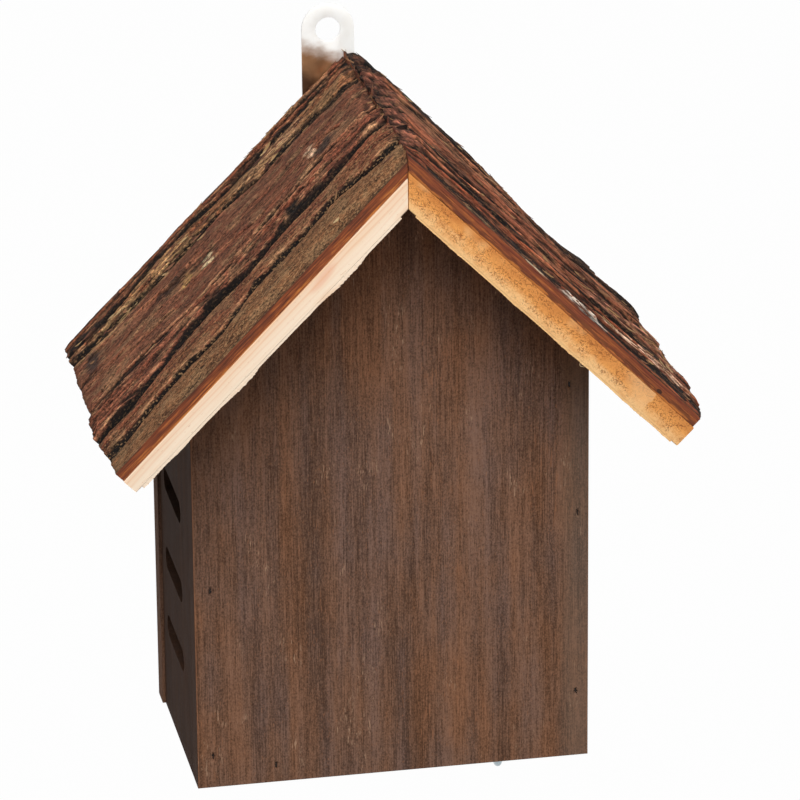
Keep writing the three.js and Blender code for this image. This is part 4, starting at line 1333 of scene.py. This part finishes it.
# wood torn in around the heads of the brads and pins, which leaves small ragged marks
dimples = {
    "halfWidth": 1.07,
    "halfHeight": 2.22,
    "steps": 26,
    "gapWidth": 0.36,
    "gapHeight": 1.25,
    "seed": 19,
    "rings": ((0, 0.08), (0.45, 0.2), (1, 0.75), (1, 0.95), (0, 0.4)),
}


def addTornDimples(panel, outward):
    rng = np.random.default_rng(dimples["seed"])
    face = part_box(panel + "_panel")[0 if outward < 0 else 1][1] / mm
    starts = (panel + "_brad", "pivot_pin_" + panel)
    heads = [node for node in sorted(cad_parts) if node.startswith(starts)]
    steps, rings = dimples["steps"], dimples["rings"]
    angles = np.arange(steps) * 2 * math.pi / steps
    cos, sin = np.cos(angles), np.sin(angles)
    points, faces = [], []
    for head in heads:
        low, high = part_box(head)
        x, z = (low[0] + high[0]) / 2 / mm, (low[2] + high[2]) / 2 / mm
        lean, shift, drop = rng.uniform(-0.35, 0.35), rng.uniform(-0.2, 0.2), rng.uniform(-0.3, 0.3)
        rough = 1 + 0.35 * rng.standard_normal(steps)
        gapX = shift + dimples["gapWidth"] * rough * cos + lean * sin ** 2 * np.sign(sin)
        gapZ = drop + dimples["gapHeight"] * (0.7 + 0.3 * rough) * sin
        rimX = dimples["halfWidth"] * np.sign(cos) * np.abs(cos) ** 0.8
        rimZ = dimples["halfHeight"] * np.sign(sin) * np.abs(sin) ** 0.8
        faces += gridFaces(len(rings), steps, len(points), True, True)
        for share, depth in rings:
            ringX, ringZ = rimX + (gapX - rimX) * share, rimZ + (gapZ - rimZ) * share
            y = np.full(steps, face - outward * depth)
            points += np.stack([x + ringX, y, z + ringZ], -1).tolist()
    name = "tornDimples" + panel.capitalize()
    piece = addMesh(name, (np.array(points) * mm).tolist(), faces, finishes[panel])
    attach(piece, "house")


addTornDimples("front", -1)
addTornDimples("back", 1)
print("dimples made")


# torn lower front edges of the sawn boards
tearing = {
    "left": {
        "finish": "pale", "slot": "pale_wood",
        "least": 0.7, "drop": 0.7, "teeth": 0.35, "reach": 17, "seed": 71,
    },
    "right": {
        "finish": "orange", "slot": "orange_wood",
        "least": 0.45, "drop": 0.16, "teeth": 0.22, "reach": 8, "seed": 83,
    },
}
ribbon = {
    "steps": 520,
    "ends": (4, 3),
    "inward": (0, 0.08, 1.9),
    "tuck": 1.0,
    "front": 0.05,
    "thinning": 0.12,
}


def addTorn(name):
    # a ribbon of wood that hangs from the board's edge by a changing amount
    layout, torn = barkLayouts[name], tearing[name]
    steps, (begin, end) = ribbon["steps"], ribbon["ends"]
    along = np.linspace(begin, layout["length"] - end, steps)
    still = along * 0
    wave = ease(field(along / torn["reach"], still, torn["seed"], 3, 0.5), 0.3, 0.75)
    teeth = ease(field(along / 0.6, still, torn["seed"] + 5, 3, 0.6), 0.35, 0.9)
    drop = torn["drop"] * wave + torn["teeth"] * teeth * (0.35 + wave) + torn["least"]
    front = barkShared["front"] + ribbon["front"] + ribbon["thinning"] * teeth
    points = []
    for corner, inward in enumerate(ribbon["inward"]):
        x, z = slabPoint(layout["side"], along, -drop if corner == 1 else ribbon["tuck"] + still)
        points.append(np.stack([x, front + inward, z], -1))
    points = np.stack(points, 1).reshape(-1, 3) * mm
    last = 3 * steps
    faces = gridFaces(steps, 3, wrapColumns=True) + [(0, 1, 2), (last - 1, last - 2, last - 3)]
    piece = addMesh("torn" + name.capitalize(), points.tolist(), faces, finishes[torn["finish"]])
    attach(piece, "house")


for name in tearing:
    addTorn(name)
print("torn edges made")


# loose sawn fibres under the roof's front edges: the slab, the place down its slope and the points
fibres = [
    ("right", 72, [(0, 0, 0), (1.4, -0.5, -1.2), (2.6, -0.8, -0.9), (3.4, -0.6, -1.6)]),
    ("right", 90, [(0, 0, 0), (-0.8, -0.8, -1.5), (0.4, -1.2, -2.4), (2.0, -1.0, -2.2), (2.2, -0.8, -1.2)]),
    ("right", 43, [(0, 0, 0), (0.6, -0.4, -0.9), (1.8, -0.4, -1.0)]),
    ("right", 112, [(0, 0, 0), (0.5, -0.3, -0.8), (1.2, -0.3, -0.9)]),
    ("left", 113, [(0, 0, 0), (-0.5, -0.3, -1.1), (-0.3, -0.3, -1.8)]),
    ("left", 60, [(0, 0, 0), (-0.4, -0.3, -0.7), (-1.1, -0.3, -0.8)]),
]
fibreShape = {"radius": 0.00014, "rings": 14, "sides": 6, "out": 0.3, "inward": 0.9, "lean": 0.2}


def fibreTree():
    tree = Tree("woodFibres", {
        "Radius": ("NodeSocketFloat", fibreShape["radius"]),
        "Finish": ("NodeSocketMaterial", None),
    })
    line = tree.node("GeometryNodeMeshToCurve", None, {"Mesh": tree.given("Geometry")})
    soft = tree.node("GeometryNodeCurveSplineType", {"spline_type": "BEZIER"}, {"Curve": line})
    auto = tree.node("GeometryNodeCurveSetHandles", {"handle_type": "AUTO"}, {"Curve": soft})
    even = tree.node("GeometryNodeResampleCurve", None, {"Curve": auto, "Count": fibreShape["rings"]})
    inputs = {"Resolution": fibreShape["sides"], "Radius": tree.given("Radius")}
    ring = tree.node("GeometryNodeCurvePrimitiveCircle", {"mode": "RADIUS"}, inputs)
    inputs = {"Curve": even, "Profile Curve": ring, "Fill Caps": True}
    tree.finish(tree.node("GeometryNodeCurveToMesh", None, inputs))
    return tree


def addFibres():
    points, edges = [], []
    for slab, along, turns in fibres:
        x, z = slabPoint(barkLayouts[slab]["side"], along, fibreShape["out"])
        start = len(points)
        for dx, dy, dz in turns:
            y = barkShared["front"] + fibreShape["inward"] - dy * fibreShape["lean"]
            points.append(((x + dx) * mm, y * mm, (z + dz) * mm))
        edges += [(start + k, start + k + 1) for k in range(len(turns) - 1)]
    mesh = bpy.data.meshes.new("fibreLines")
    mesh.from_pydata(points, edges, [])
    carrier = addObject("fibreLines", mesh)
    piece = bake(carrier, "woodFibres", fibreTree(), {"Finish": finishes["fibre"]})
    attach(piece, "house")


addFibres()
print("fibres made")


# light, floor and background
light = {
    "worldStrength": 0.13,
    "floorLevel": -118,
    "floorReach": 4,
    "floorTone": 0.3,
    "floorGlow": 0.985,
    "aim": (0, -0.04, 0.12),
    "lamps": {
        "keyLamp": {"place": (-0.3, -1.25, 1.76), "size": 1.5, "power": 53.5},
        "fillLamp": {"place": (0.9, -1.9, 0.6), "size": 1.2, "power": 3},
    },
}


def addLamp(name, place, size, power):
    data = bpy.data.lights.new(name, "AREA")
    data.shape = "DISK"
    data.size = size
    data.energy = power
    turn = (Vector(light["aim"]) - Vector(place)).to_track_quat("-Z", "Y").to_matrix().to_4x4()
    addObject(name, data).matrix_world = Matrix.Translation(place) @ turn


def seenDirectly(nodes):
    # 1 for the camera, for mirror-like reflections and through glass
    path = nodes.node("ShaderNodeLightPath", output="Is Camera Ray")
    glossy, clear = path.other("Is Glossy Ray"), path.other("Is Transmission Ray")
    return path.calc("MAXIMUM", glossy).calc("MAXIMUM", clear)


def addSurroundings():
    white = (1, 1, 1, 1)
    scene.world = bpy.data.worlds.new("studio")
    scene.world.use_nodes = True
    world = Nodes(scene.world.node_tree)
    soft = world.node("ShaderNodeBackground", None, {"Color": white, "Strength": light["worldStrength"]})
    bright = world.node("ShaderNodeBackground", None, {"Color": white})
    blend = world.node("ShaderNodeMixShader", None, [seenDirectly(world), soft, bright])
    world.node("ShaderNodeOutputWorld", None, [blend])

    # the floor shows its shadow, glows white and can't be seen from below
    finish = Finish("studioFloor")
    grey = (light["floorTone"],) * 3 + (1,)
    diffuse = finish.node("ShaderNodeBsdfDiffuse", None, {"Color": grey})
    glow = finish.node("ShaderNodeEmission", None, {"Color": white, "Strength": 1.0})
    seen = seenDirectly(finish) * light["floorGlow"]
    both = finish.node("ShaderNodeMixShader", None, [seen, diffuse, glow])
    under = finish.node("ShaderNodeNewGeometry", output="Backfacing")
    clear = finish.node("ShaderNodeBsdfTransparent")
    oneSided = finish.node("ShaderNodeMixShader", None, [under, both, clear])
    finish.node("ShaderNodeOutputMaterial", None, {"Surface": oneSided})
    mesh = bpy.data.meshes.new("floor")
    reach, level = light["floorReach"], light["floorLevel"] * mm
    corners = [(-reach, -reach), (reach, -reach), (reach, reach), (-reach, reach)]
    mesh.from_pydata([(x, y, level) for x, y in corners], [], [(0, 1, 2, 3)])
    mesh.materials.append(finish.material)
    floor = addObject("floor", mesh)
    for name, lamp in light["lamps"].items():
        addLamp(name, **lamp)


addSurroundings()
print("surroundings made")
